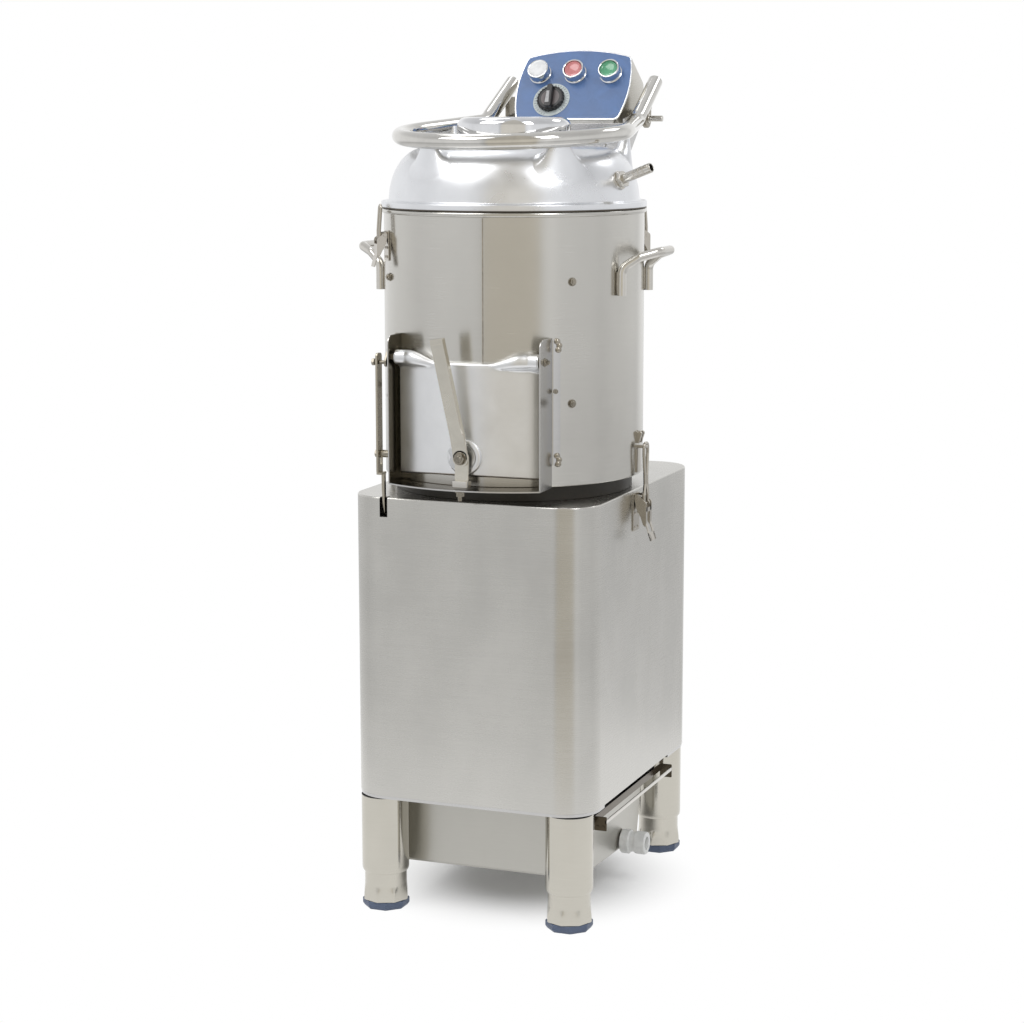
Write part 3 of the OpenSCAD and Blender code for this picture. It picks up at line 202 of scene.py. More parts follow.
def moulded(name, colour, rough, grain=0.02, **sockets):
    """Moulded plastic or rubber with a fine skin and slightly uneven gloss."""
    f = Finish(name, colour, 0.0, rough, **sockets)
    clouds = f.noise(14, (1, 1, 1), 3, 0.6)
    f.tint(clouds, 0.9, 1.08)
    f.roughen(clouds, rough - 0.07, rough + 0.07)
    f.bump(f.noise(0.9, (1, 1, 1), 2, 0.6), grain, 0.5)
    return f.material


def dark_metal(name, colour, rough, metal=1.0):
    """Blackened or bare cast metal with worn lighter patches; also used for near-black painted shade."""
    f = Finish(name, colour, metal, rough)
    patches = f.noise(9, (1, 1, 1), 5, 0.65, 0.5)
    f.tint(patches, 0.75, 1.35)
    f.roughen(patches, rough - 0.1, rough + 0.12)
    f.bump(f.noise(1.4, (1, 1, 1), 4, 0.6), 0.08, 0.5)
    return f.material


def grit(name):
    """Bonded silicon carbide: dark grains with small bright facets."""
    f = Finish(name, (0.085, 0.085, 0.09), 0.0, 0.75)
    grains = f.cells(1.7)
    clouds = f.noise(16, (1, 1, 1), 4, 0.6)
    tone = f.maths("ADD", f.maths("MULTIPLY", grains, 0.7), f.maths("MULTIPLY", clouds, 0.5))
    f.tint(tone, 0.45, 2.2, 0.2, 0.85)
    f.roughen(grains, 0.45, 0.9, 0.1, 0.6)
    f.bump(grains, 0.7, 0.9)
    return f.material


def blue_film():
    """Printed blue film on the panel, slightly cloudy, with a soft sheen."""
    f = Finish("blue_film", (0.092, 0.185, 0.410), 0.0, 0.36, Coat_Weight=0.15, Coat_Roughness=0.12)
    clouds = f.noise(26, (1, 1, 1), 4, 0.6, 0.6)
    f.tint(clouds, 0.88, 1.12)
    f.roughen(clouds, 0.28, 0.44)
    f.bump(f.noise(0.7, (1, 1, 1), 2, 0.6), 0.02, 0.35)
    f.bump(f.noise(30, (1, 1, 1), 1, 0.5), 0.08, 0.4)
    return f.material


FINE_GRAIN = 9       # grain lines for each 3 mm of height
STEEL = steel_sheet("brushed_sheet", (0.600, 0.590, 0.560), 0.27, FINE_GRAIN)
DRUM_STEEL = steel_sheet("drum_sheet", (0.600, 0.588, 0.555), 0.24, FINE_GRAIN, 0.3)
LEG_STEEL = steel_sheet("leg_tube", (0.560, 0.538, 0.480), 0.15, 9, 0.08, 0.03)
# darker than the cabinet's sheet: painted shade for the tray under the cabinet
TRAY_SHEET_PAINTED_SHADE = steel_sheet("tray_sheet_painted_shade", (0.480, 0.470, 0.435), 0.33, 10, 0.35)
FRAME_STEEL = steel_sheet("frame_plate", (0.580, 0.575, 0.570), 0.22, 6, 0.15)
# darker copy of the sheet steel: painted shade on the door frame plates' inner faces
FRAME_PAINTED_SHADE = steel_sheet("frame_inside_painted_shade", (0.300, 0.280, 0.235), 0.24, 6, 0.15)
BOX_STEEL = steel_sheet("box_sheet", (0.500, 0.480, 0.430), 0.28, 6, 0.1)
INNER_STEEL = steel_sheet("inner_sheet", (0.40, 0.39, 0.37), 0.40, 8, 0.3)
TUBE_STEEL = polished("polished_tube", (0.690, 0.678, 0.650), 0.085, 0.03)
ROD_STEEL = polished("bright_rod", (0.660, 0.640, 0.600), 0.17)
LATCH_STEEL = polished("pressed_latch", (0.520, 0.490, 0.440), 0.15)
LEVER_STEEL = polished("lever_strip", (0.700, 0.672, 0.600), 0.24, 0.05)
ROD_STRIP = polished("rod_strip", (0.480, 0.440, 0.360), 0.24, 0.07)
CAM_STEEL = polished("cam_plate", (0.66, 0.67, 0.68), 0.16)
BEZEL_STEEL = polished("bezel_ring", (0.80, 0.81, 0.82), 0.16)
DOME_CAST = cast_metal("dome_casting", (0.815, 0.828, 0.855), 0.30)
CAP_CAST = polished("cap_polish", (0.800, 0.808, 0.830), 0.055, 0.02)
# near black as painted shade: the drum's seat ring
SEAT_PAINTED_SHADE = dark_metal("seat_ring_painted_shade", (0.028, 0.024, 0.018), 0.45, 0.3)
DOOR_CAST = cast_metal("door_casting", (0.845, 0.855, 0.870), 0.34, 0.02)
BOLT_STEEL = dark_metal("bolt_metal", (0.30, 0.275, 0.23), 0.26)
WELD_STEEL = dark_metal("weld_bead", (0.36, 0.33, 0.28), 0.16)
# dark cast iron for the bearing housing and the pulleys, and painted shade on the sleeve tops and the drum
# deck
DARK_CAST_AND_PAINTED_SHADE = dark_metal("dark_casting", (0.10, 0.10, 0.10), 0.50)
MOTOR_PAINT = dark_metal("motor_paint", (0.12, 0.14, 0.17), 0.45, 0.0)
BLACK_RUBBER = moulded("black_rubber", (0.022, 0.022, 0.024), 0.62, 0.04)
PAD_RUBBER = moulded("blue_rubber", (0.115, 0.150, 0.235), 0.50, 0.05)
BLACK_PLASTIC = moulded("black_plastic", (0.018, 0.018, 0.020), 0.32)
GREY_PLASTIC = moulded("grey_insert", (0.46, 0.46, 0.46), 0.30)
KNOB_FACE = moulded("knob_face", (0.165, 0.140, 0.140), 0.38, 0.06)
RED_PLASTIC = moulded("red_cap", (0.70, 0.24, 0.24), 0.20, 0.01, Coat_Weight=1.0)
GREEN_PLASTIC = moulded("green_cap", (0.10, 0.42, 0.22), 0.20, 0.01, Coat_Weight=1.0)
WHITE_PLASTIC = moulded("white_lens", (0.93, 0.935, 0.94), 0.28, 0.01)
DRAIN_PLASTIC = moulded("milky_plastic", (0.93, 0.93, 0.905), 0.42, 0.03)
DIAL_PRINT = moulded("dial_ring", (0.60, 0.66, 0.66), 0.35)
MARK_PRINT = moulded("dial_mark", (0.05, 0.06, 0.09), 0.45)
EDGE_TRIM = polished("light_edging", (0.86, 0.87, 0.88), 0.22)
# near-black polish as painted shade: the door sill's top and the tray lip's inner wall, end plates and rivets
PAINTED_SHADE_POLISH = polished("painted_shade_polish", (0.120, 0.100, 0.075), 0.20)
GASKET_RUBBER = moulded("lid_gasket_rubber", (0.115, 0.095, 0.070), 0.50, 0.04)
GRIT = grit("bonded_grit")
BLUE_FILM = blue_film()


# ---------------------------------------------------------------- shapes

def curve(radius, start, end, steps, middle=(0, 0)):
    """Points of an arc, in degrees, both ends included."""
    return [(middle[0] + radius * cos(radians(start + (end - start) * i / steps)),
             middle[1] + radius * sin(radians(start + (end - start) * i / steps))) for i in range(steps + 1)]


def around(radius, angles, x=0.0, y=0.0):
    """Points of a circle at the given angles in degrees."""
    return [(x + radius * cos(radians(a)), y + radius * sin(radians(a))) for a in angles]


def mix(a, b, t):
    return a + (b - a) * t


def ease(t):
    t = min(max(t, 0.0), 1.0)
    return t * t * (3 - 2 * t)


def round_box(x0, x1, y0, y1, r, inset=0.0, steps=10, fill=1):
    """A rectangle's outline with round corners, pulled in by an inset; fill adds points along its sides."""
    r = max(r - inset, 0.05)
    x0, x1, y0, y1 = x0 + inset, x1 - inset, y0 + inset, y1 - inset
    corners = [curve(r, a, a + 90, steps, m) for a, m in
               ((-90, (x1 - r, y0 + r)), (0, (x1 - r, y1 - r)), (90, (x0 + r, y1 - r)),
                (180, (x0 + r, y0 + r)))]
    points = []
    for i, arc in enumerate(corners):
        points += arc
        nxt = corners[(i + 1) % 4][0]
        points += [(mix(arc[-1][0], nxt[0], k / fill), mix(arc[-1][1], nxt[1], k / fill))
                   for k in range(1, fill)]
    return points


def pulled_in(outline, d):
    """A closed outline moved inwards by d along its corners' bisectors (points run anticlockwise)."""
    out, n = [], len(outline)
    for i, p in enumerate(outline):
        a, b = Vector(p) - Vector(outline[i - 1]), Vector(outline[(i + 1) % n]) - Vector(p)
        a, b = a.normalized(), b.normalized()
        na, nb = Vector((-a.y, a.x)), Vector((-b.y, b.x))
        m = na + nb
        m = m / max(m.length_squared, 0.3) * 2 if m.length > 1e-6 else na
        out.append((p[0] + m.x * d, p[1] + m.y * d))
    return out


def anticlockwise(outline):
    area = sum(a[0] * b[1] - b[0] * a[1] for a, b in zip(outline, outline[1:] + outline[:1]))
    return outline if area > 0 else outline[::-1]


def along(path, bend, step=18):
    """A path in space whose inner corners are rounded to a bend radius."""
    path = [Vector(p) for p in path]
    out = [path[0]]
    for before, p, after in zip(path, path[1:], path[2:]):
        a, b = (p - before).normalized(), (after - p).normalized()
        turn = a.angle(b)
        if turn < 0.02:
            out.append(p)
            continue
        n = (b - a.dot(b) * a).normalized()
        middle = p - a * bend * tan(turn / 2) + n * bend
        steps = max(int(ceil(degrees(turn) / step)), 2)
        out += [middle - n * bend * cos(turn * i / steps) + a * bend * sin(turn * i / steps)
                for i in range(steps + 1)]
    return out + [path[-1]]


class Shape:
    """Points in millimetres and faces; each face carries the number of its finish."""

    def __init__(self):
        self.points, self.faces, self.finish = [], [], []

    def add(self, points, faces, finish=0, move=None):
        base = len(self.points)
        self.points += [tuple(move @ Vector(p)) if move else tuple(p) for p in points]
        self.faces += [[base + i for i in f] for f in faces]
        self.finish += [finish] * len(faces)
        return self

    def loft(self, rings, closed=False, caps=True, finish=0, move=None):
        """Skins equal rings of points one after another; a closed loft comes back to its first ring."""
        n, points = len(rings[0]), [p for ring in rings for p in ring]
        faces, last = [], len(rings) if closed else len(rings) - 1
        for i in range(last):
            a, b = i * n, (i + 1) % len(rings) * n
            faces += [[a + k, a + (k + 1) % n, b + (k + 1) % n, b + k] for k in range(n)]
        if caps and not closed:
            faces += [list(range(n))[::-1], list(range((len(rings) - 1) * n, len(rings) * n))]
        return self.add(points, faces, finish, move)

    def lathe(self, profile, steps=96, finish=0, move=None, closed=True, shift=None):
        """Turns a profile of (radius, height) points round the upright axis."""
        rings = []
        for k in range(steps):
            a = 2 * pi * k / steps
            push = shift(degrees(a)) if shift else 0
            rings.append([((r + push if r > 1 else r) * cos(a), (r + push if r > 1 else r) * sin(a), z)
                          for r, z in profile])
        n, faces = len(profile), []
        for i in range(steps):
            a, b = i * n, (i + 1) % steps * n
            faces += [[a + k, b + k, b + (k + 1) % n, a + (k + 1) % n] for k in range(n if closed else n - 1)]
        return self.add([p for ring in rings for p in ring], faces, finish, move)

    def cylinder(self, r, low, high, steps, move=None):
        return self.lathe([(0, low), (r, low), (r, high), (0, high)], steps, move=move)

    def prism(self, outline, z0, z1, soft=0.0, finish=0, move=None, steps=2):
        """A plate from an outline, with its edges rounded to a soft radius."""
        outline = anticlockwise([tuple(p) for p in outline])
        levels = [(0, z0), (0, z1)]
        if soft:
            low = [(soft - soft * sin(pi / 2 * i / steps), z0 + soft - soft * cos(pi / 2 * i / steps))
                   for i in range(steps + 1)]
            levels = low + [(d, z0 + z1 - z) for d, z in low[::-1]]
        rings = []
        for d, z in levels:
            edge = pulled_in(outline, d) if d > 1e-6 else outline
            rings.append([(x, y, z) for x, y in edge])
        return self.loft(rings, finish=finish, move=move)

    def block(self, low, high, finish=0, move=None):
        (x0, y0, z0), (x1, y1, z1) = low, high
        return self.prism([(x0, y0), (x1, y0), (x1, y1), (x0, y1)], z0, z1, 0, finish, move)

    def copy_of(self, other, move=Matrix.Identity(4)):
        base = len(self.points)
        self.points += [tuple(move @ Vector(p)) for p in other.points]
        self.faces += [[base + i for i in f] for f in other.faces]
        self.finish += other.finish
        return self


def turned(axis, to=(0, 0, 0)):
    """Moves a shape drawn round the upright axis so that it points along another axis."""
    return Matrix.Translation(to) @ Vector(axis).to_track_quat("Z", "Y").to_matrix().to_4x4()


# Both take a flat outline drawn as (x, height); its thickness then grows to the front or to the back.
FACING_FRONT = Matrix(((1, 0, 0, 0), (0, 0, -1, 0), (0, 1, 0, 0), (0, 0, 0, 1)))
FACING_BACK = Matrix(((1, 0, 0, 0), (0, 0, 1, 0), (0, 1, 0, 0), (0, 0, 0, 1)))


def side_on(x):
    """Moves a flat outline drawn as (depth, height) into an upright plane square to X."""
    return Matrix(((0, 0, 1, x), (1, 0, 0, 0), (0, 1, 0, 0), (0, 0, 0, 1)))


def moved(x, y, z):
    return Matrix.Translation((x, y, z))


def spun(degree, axis):
    return Matrix.Rotation(radians(degree), 4, axis)


def azimuth(a, r=0.0, z=0.0):
    """A place on the drum's wall: x points away from the axis, z up."""
    return spun(a, "Z") @ moved(r, 0, z)


def point_at(a, r, z):
    """The point at an azimuth, a distance from the drum's axis and a height."""
    return azimuth(a, r, z) @ Vector((0, 0, 0))


def linked(name, data):
    """A new object in the scene."""
    obj = bpy.data.objects.new(name, data)
    scene.collection.objects.link(obj)
    return obj


def to_object(name, shape, finishes):
    mesh = bpy.data.meshes.new(name)
    mesh.from_pydata(shape.points, [], shape.faces)
    mesh.transform(TO_FRAME)
    for finish in finishes:
        mesh.materials.append(finish)
    mesh.polygons.foreach_set("material_index", shape.finish)
    return linked(name, mesh)


def applied(obj):
    """Turns an object with its modifiers into a plain mesh."""
    bpy.context.view_layer.update()
    mesh = bpy.data.meshes.new_from_object(obj.evaluated_get(bpy.context.evaluated_depsgraph_get()))
    obj.modifiers.clear()
    obj.data = mesh
    return obj


def clean(obj, sharp=24):
    """Merges doubles, points the faces outwards and marks the edges that stay crisp."""
    bm = bmesh.new()
    bm.from_mesh(obj.data)
    bmesh.ops.remove_doubles(bm, verts=bm.verts, dist=4e-6)
    bmesh.ops.dissolve_degenerate(bm, edges=bm.edges, dist=1e-6)
    bmesh.ops.recalc_face_normals(bm, faces=bm.faces)
    for face in bm.faces:
        face.smooth = True
    for edge in bm.edges:
        edge.smooth = not (len(edge.link_faces) == 2 and edge.calc_face_angle(0) > radians(sharp))
    bm.to_mesh(obj.data)
    bm.free()
    return obj


def carved(obj, *cutters):
    """Cuts shapes out of an object."""
    for cutter in cutters:
        tool = clean(to_object("cutter", cutter, []))
        modifier = obj.modifiers.new("cut", "BOOLEAN")
        modifier.operation, modifier.solver, modifier.object = "DIFFERENCE", "EXACT", tool
        applied(obj)
        bpy.data.objects.remove(tool)
    return clean(obj)


def finished(obj, body, nodes=(), sharp=24):
    """Evens the shading of a piece and seats it on its body in place of CAD nodes."""
    clean(obj, sharp)
    modifier = obj.modifiers.new("shading", "WEIGHTED_NORMAL")
    modifier.keep_sharp = True
    applied(obj)
    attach(obj, body)
    if nodes:
        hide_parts(*([nodes] if isinstance(nodes, str) else nodes))
    return obj


def painted(obj, finish, picks):
    """Gives a finish to the faces that picks(middle, normal) chooses; the middle is in millimetres."""
    obj.data.materials.append(finish)
    back = TO_FRAME.inverted()
    for face in obj.data.polygons:
        if picks(back @ face.center, face.normal):
            face.material_index = len(obj.data.materials) - 1
    return obj


def piece(name, shape, finishes, body, nodes=(), cutters=(), sharp=24):
    """Makes a piece from a shape, cuts the cutters out of it and finishes it."""
    obj = to_object(name, shape, finishes if isinstance(finishes, (list, tuple)) else [finishes])
    if cutters:
        carved(clean(obj), *cutters)
    return finished(obj, body, nodes, sharp)


# ---------------------------------------------------------------- node trees that repeat and sweep

class Tree:
    """A geometry node tree with named inputs, built step by step."""

    def __init__(self, name, inputs):
        self.group = bpy.data.node_groups.new(name, "GeometryNodeTree")
        self.group.interface.new_socket("Geometry", in_out="INPUT", socket_type="NodeSocketGeometry")
        for label, (kind, value) in inputs.items():
            socket = self.group.interface.new_socket(label, in_out="INPUT", socket_type="NodeSocket" + kind)
            if value is not None:
                socket.default_value = value
        self.group.interface.new_socket("Geometry", in_out="OUTPUT", socket_type="NodeSocketGeometry")
        self.start = self.group.nodes.new("NodeGroupInput")
        self.end = self.group.nodes.new("NodeGroupOutput")

    def input(self, label):
        return self.start.outputs[label]

    def node(self, kind, values=None, out=0, **settings):
        node = self.group.nodes.new(kind)
        for key, value in settings.items():
            setattr(node, key, value)
        for socket, value in (values or {}).items():
            target = node.inputs[socket]
            if isinstance(value, bpy.types.NodeSocket):
                self.group.links.new(value, target)
            else:
                target.default_value = value
        return node.outputs[out]

    def close(self, geometry):
        """Realizes the copies and gives them their finish."""
        real = self.node("GeometryNodeRealizeInstances", {0: geometry})
        real = self.node("GeometryNodeSetMaterial", {"Geometry": real, "Material": self.input("Finish")})
        self.group.links.new(real, self.end.inputs[0])

    def grow(self, obj, **values):
        """Runs the tree on an object and leaves a plain mesh."""
        modifier = obj.modifiers.new("grow", "NODES")
        modifier.node_group = self.group
        for item in self.group.interface.items_tree:
            if item.in_out == "INPUT" and item.name in values:
                modifier[item.identifier] = values[item.name]
        applied(obj)
        return obj


def tube_tree():
    """A bent tube: the path's corners are filleted, and a round section runs along it."""
    t = Tree("bent_tube", {"Radius": ("Float", 0.006), "Bend": ("Float", 0.012), "Sides": ("Int", 32),
                           "Finish": ("Material", None)})
    line = t.node("GeometryNodeMeshToCurve", {0: t.input("Geometry")})
    round_line = t.node("GeometryNodeFilletCurve", {"Curve": line, "Radius": t.input("Bend"), "Count": 12,
                                                    "Limit Radius": True}, mode="POLY")
    bends = t.node("FunctionNodeCompare", {0: t.input("Bend"), 1: 0.0001}, operation="GREATER_THAN")
    line = t.node("GeometryNodeSwitch", {"Switch": bends, "False": line, "True": round_line},
                  input_type="GEOMETRY")
    section = t.node("GeometryNodeCurvePrimitiveCircle",
                     {"Resolution": t.input("Sides"), "Radius": t.input("Radius")})
    tube = t.node("GeometryNodeCurveToMesh", {"Curve": line, "Profile Curve": section, "Fill Caps": True})
    t.close(tube)
    return t


def copies_tree():
    """Copies of one part on a mesh's points, each turned to that point's facing."""
    t = Tree("copies_on_points", {"Part": ("Object", None), "Finish": ("Material", None)})
    part = t.node("GeometryNodeObjectInfo", {"Object": t.input("Part"), "As Instance": True}, out="Geometry")
    facing = t.node("GeometryNodeInputNamedAttribute", {"Name": "facing"}, data_type="FLOAT_VECTOR")
    turn = t.node("FunctionNodeAlignRotationToVector", {"Vector": facing}, axis="Z", pivot_axis="AUTO")
    points = t.node("GeometryNodeMeshToPoints", {"Mesh": t.input("Geometry")})
    copies = t.node("GeometryNodeInstanceOnPoints", {"Points": points, "Instance": part, "Rotation": turn})
    t.close(copies)
    return t


def circle_tree():
    """Copies of one part round the upright axis, from a first angle over a sweep."""
    t = Tree("copies_on_circle", {"Part": ("Object", None), "Copies": ("Int", 12), "First": ("Float", 0.0),
                                  "Sweep": ("Float", 2 * pi), "Finish": ("Material", None)})
    part = t.node("GeometryNodeObjectInfo", {"Object": t.input("Part"), "As Instance": True}, out="Geometry")
    points = t.node("GeometryNodePoints", {"Count": t.input("Copies")})
    index = t.node("GeometryNodeInputIndex")
    share = t.node("ShaderNodeMath", {0: index, 1: t.input("Copies")}, operation="DIVIDE")
    angle = t.node("ShaderNodeMath", {0: share, 1: t.input("Sweep"), 2: t.input("First")},
                   operation="MULTIPLY_ADD")
    turn = t.node("ShaderNodeCombineXYZ", {"Z": angle})
    copies = t.node("GeometryNodeInstanceOnPoints", {"Points": points, "Instance": part, "Rotation": turn})
    t.close(copies)
    return t


def grit_tree():
    """Loose grains strewn over a surface, each turned and sized at random from a fixed seed."""
    t = Tree("strewn_grains", {"Density": ("Float", 1e5), "Grain": ("Float", 0.001), "Seed": ("Int", 7),
                               "Finish": ("Material", None)})
    spread = t.node("GeometryNodeDistributePointsOnFaces", {"Mesh": t.input("Geometry"),
                                                            "Density": t.input("Density"),
                                                            "Seed": t.input("Seed")})
    grain = t.node("GeometryNodeMeshIcoSphere", {"Radius": t.input("Grain"), "Subdivisions": 1})
    turn = t.node("FunctionNodeRandomValue", {0: (0, 0, 0), 1: (6.28, 6.28, 6.28), "Seed": t.input("Seed")},
                  data_type="FLOAT_VECTOR")
    size = t.node("FunctionNodeRandomValue", {0: (0.5, 0.5, 0.35), 1: (1.1, 0.9, 0.8), "Seed": 3},
                  data_type="FLOAT_VECTOR")
    grains = t.node("GeometryNodeInstanceOnPoints", {"Points": spread, "Instance": grain, "Rotation": turn,
                                                     "Scale": size})
    both = t.node("GeometryNodeJoinGeometry")
    join = both.node
    t.group.links.new(t.node("GeometryNodeRealizeInstances", {0: grains}), join.inputs[0])
    t.group.links.new(t.input("Geometry"), join.inputs[0])
    t.close(both)
    return t


def grid_tree():
    """Copies of one part in rows and columns on a flat field."""
    t = Tree("copies_in_rows", {"Part": ("Object", None), "Across": ("Int", 4), "Along": ("Int", 4),
                                "Width": ("Float", 0.1), "Length": ("Float", 0.1),
                                "Finish": ("Material", None)})
    part = t.node("GeometryNodeObjectInfo", {"Object": t.input("Part"), "As Instance": True}, out="Geometry")
    field = t.node("GeometryNodeMeshGrid", {"Size X": t.input("Width"), "Size Y": t.input("Length"),
                                            "Vertices X": t.input("Across"), "Vertices Y": t.input("Along")})
    points = t.node("GeometryNodeMeshToPoints", {"Mesh": field})
    t.close(t.node("GeometryNodeInstanceOnPoints", {"Points": points, "Instance": part}))
    return t


TUBE, COPIES, CIRCLE, GRAINS, ROWS = tube_tree(), copies_tree(), circle_tree(), grit_tree(), grid_tree()


def tube(name, path, radius, bend, finish, sides=32):
    """A tube along a path in millimetres."""
    mesh = bpy.data.meshes.new(name)
    mesh.from_pydata([tuple(p) for p in path], [(i, i + 1) for i in range(len(path) - 1)], [])
    mesh.transform(TO_FRAME)
    obj = linked(name, mesh)
    return TUBE.grow(obj, Radius=radius * MM, Bend=bend * MM, Sides=sides, Finish=finish)


def part_of(shape):
    """A master copy in metres round its own origin, used by the trees that repeat it."""
    mesh = bpy.data.meshes.new("master")
    mesh.from_pydata(shape.points, [], shape.faces)
    mesh.transform(Matrix.Scale(MM, 4))
    return clean(linked("master", mesh))


def at_places(name, master, places, finish):
    """Copies of a master at places given as (point, facing) pairs in millimetres."""
    mesh = bpy.data.meshes.new(name)
    mesh.from_pydata([tuple(p) for p, _ in places], [], [])
    mesh.transform(TO_FRAME)
    facing = mesh.attributes.new("facing", "FLOAT_VECTOR", "POINT")
    facing.data.foreach_set("vector", [c for _, way in places for c in way])
    obj = linked(name, mesh)
    COPIES.grow(obj, Part=master, Finish=finish)
    bpy.data.objects.remove(master)
    return obj


def round_axis(name, master, copies, move, finish, first=0.0, sweep=360.0):
    """Copies of a master round an axis; move places the finished ring in millimetres."""
    obj = linked(name, bpy.data.meshes.new(name))
    CIRCLE.grow(obj, Part=master, Copies=copies, First=radians(first), Sweep=radians(sweep), Finish=finish)
    obj.data.transform(TO_FRAME @ move @ Matrix.Scale(1 / MM, 4))
    bpy.data.objects.remove(master)
    return obj


def joined(name, *objs):
    """Makes one object of several, keeping each one's finish."""
    bm, finishes = bmesh.new(), []
    for obj in objs:
        base = len(finishes)
        finishes += list(obj.data.materials)
        obj.data.polygons.foreach_set("material_index", [base + p.material_index for p in obj.data.polygons])
        bm.from_mesh(obj.data)
    mesh = bpy.data.meshes.new(name)
    bm.to_mesh(mesh)
    bm.free()
    for finish in finishes:
        mesh.materials.append(finish)
    for obj in objs:
        bpy.data.objects.remove(obj)
    return linked(name, mesh)


# ---------------------------------------------------------------- bolts, nuts and washers

def nut_shape(r, h):
    """A hexagon head or nut whose corners are chamfered by a shallow cone."""
    rings, n = [], 48
    for z, limit in ((0, r * 0.93), (r * 0.06, r), (h - r * 0.10, r), (h, r * 0.88)):
        ring = []
        for k in range(n):
            a = 2 * pi * k / n
            flat = r * cos(pi / 6) / cos((a % (pi / 3)) - pi / 6)
            s = min(flat, limit)
            ring.append((s * cos(a), s * sin(a), z))
        rings.append(ring)
    top = r * 0.80
    rings.append([(top * cos(2 * pi * k / n), top * sin(2 * pi * k / n), h) for k in range(n)])
    return Shape().loft(rings)


def bolt_end(r, h, z):
    return Shape().lathe([(0, z), (r, z), (r, z + h - 0.5), (r - 0.5, z + h), (0, z + h)], 24)


def washer(r, hole, t, z=0.0):
    return Shape().lathe([(hole, z), (r - 0.25, z), (r, z + 0.25), (r, z + t - 0.25), (r - 0.25, z + t),
                          (hole, z + t)], 32)


def hex_bolt(r, head, washer_r=0.0, stub=0.0, stub_r=2.5):
    """A hexagon head on its washer, with the bolt's end showing when there is a stub."""
    s = Shape()
    base = 0.0
    if washer_r:
        s.copy_of(washer(washer_r, 1.0, 1.0))
        base = 0.95
    s.copy_of(nut_shape(r, head), moved(0, 0, base))
    if stub:
        s.copy_of(bolt_end(stub_r, stub, base + head - 0.2))
    return s


# ---------------------------------------------------------------- cabinet and legs

CAB_X, CAB_FRONT, CAB_BACK, CAB_R = 171.0, -177.0, 273.0, 50.0
CAB_LOW, CAB_TOP, SHEET = 163.0, 569.0, 1.5


def cabinet():
    """Folded shell, open below, with a hole in its top under the drum and a notch at the upper front left."""
    def outline(inset, z):
        return [(x, y, z) for x, y in round_box(-CAB_X, CAB_X, CAB_FRONT, CAB_BACK, CAB_R, inset, 16, 14)]
    soft = 2.0
    rings = [outline(SHEET, CAB_LOW), outline(0.3, CAB_LOW), outline(0, CAB_LOW + 0.3),
             outline(0, CAB_TOP - soft)]
    for a in (22, 45, 68, 90):
        rings.append(outline(soft - soft * cos(radians(a)), CAB_TOP - soft + soft * sin(radians(a))))
    hole = []
    for x, y, _ in rings[0]:
        a = atan2(y, x)
        hole.append((152 * cos(a), 152 * sin(a)))
    rings += [[(x, y, CAB_TOP) for x, y in hole], [(x, y, CAB_TOP - SHEET) for x, y in hole]]
    rings += [outline(SHEET + 1.5, CAB_TOP - SHEET), outline(SHEET, CAB_TOP - SHEET - 1.5)]
    notch = Shape().block((-121.5, CAB_FRONT - 3, 543), (-110.5, -165, 575))
    gland = Shape().cylinder(10, -10, 10, 32, move=turned((0, 1, 0), (110, CAB_BACK, 205)))
    piece("cabinet", Shape().loft(rings, closed=True), STEEL, "stand", "cabinet_shell",
          cutters=(notch, gland))


def service_cover():
    """Screwed cover at the cabinet's back with a field of air slots."""
    facing_back = Matrix(((-1, 0, 0, 0), (0, 0, 1, CAB_BACK), (0, 1, 0, 0), (0, 0, 0, 1)))
    plate = Shape().prism(round_box(-112, 112, 235, 505, 8, steps=5), 0, 1.2, 0.4, move=facing_back)
    cover = clean(to_object("cover", plate, [STEEL]))
    slot = part_of(Shape().prism(round_box(-22, 22, -2, 2, 1.9, steps=6), -0.3, 0.35))
    slots = linked("air_slots", bpy.data.meshes.new("air_slots"))
    ROWS.grow(slots, Part=slot, Across=3, Along=9, Width=0.120, Length=0.080, Finish=BLACK_PLASTIC)
    slots.data.transform(TO_FRAME @ facing_back @ moved(0, 320, 1.0) @ Matrix.Scale(1 / MM, 4))
    bpy.data.objects.remove(slot)
    spots = [((x, CAB_BACK + 1.1, z), (0, 1, 0)) for x in (-104, 0, 104) for z in (243, 497)]
    head = [(0, -0.5), (4, -0.5), (4, 0.5), (3.4, 1.4), (1.8, 1.9), (1.6, 0.9), (0, 0.9)]
    screws = at_places("cover_screws", part_of(Shape().lathe(head, 24)), spots, BOLT_STEEL)
    finished(joined("back_service_cover", cover, slots, screws), "stand")


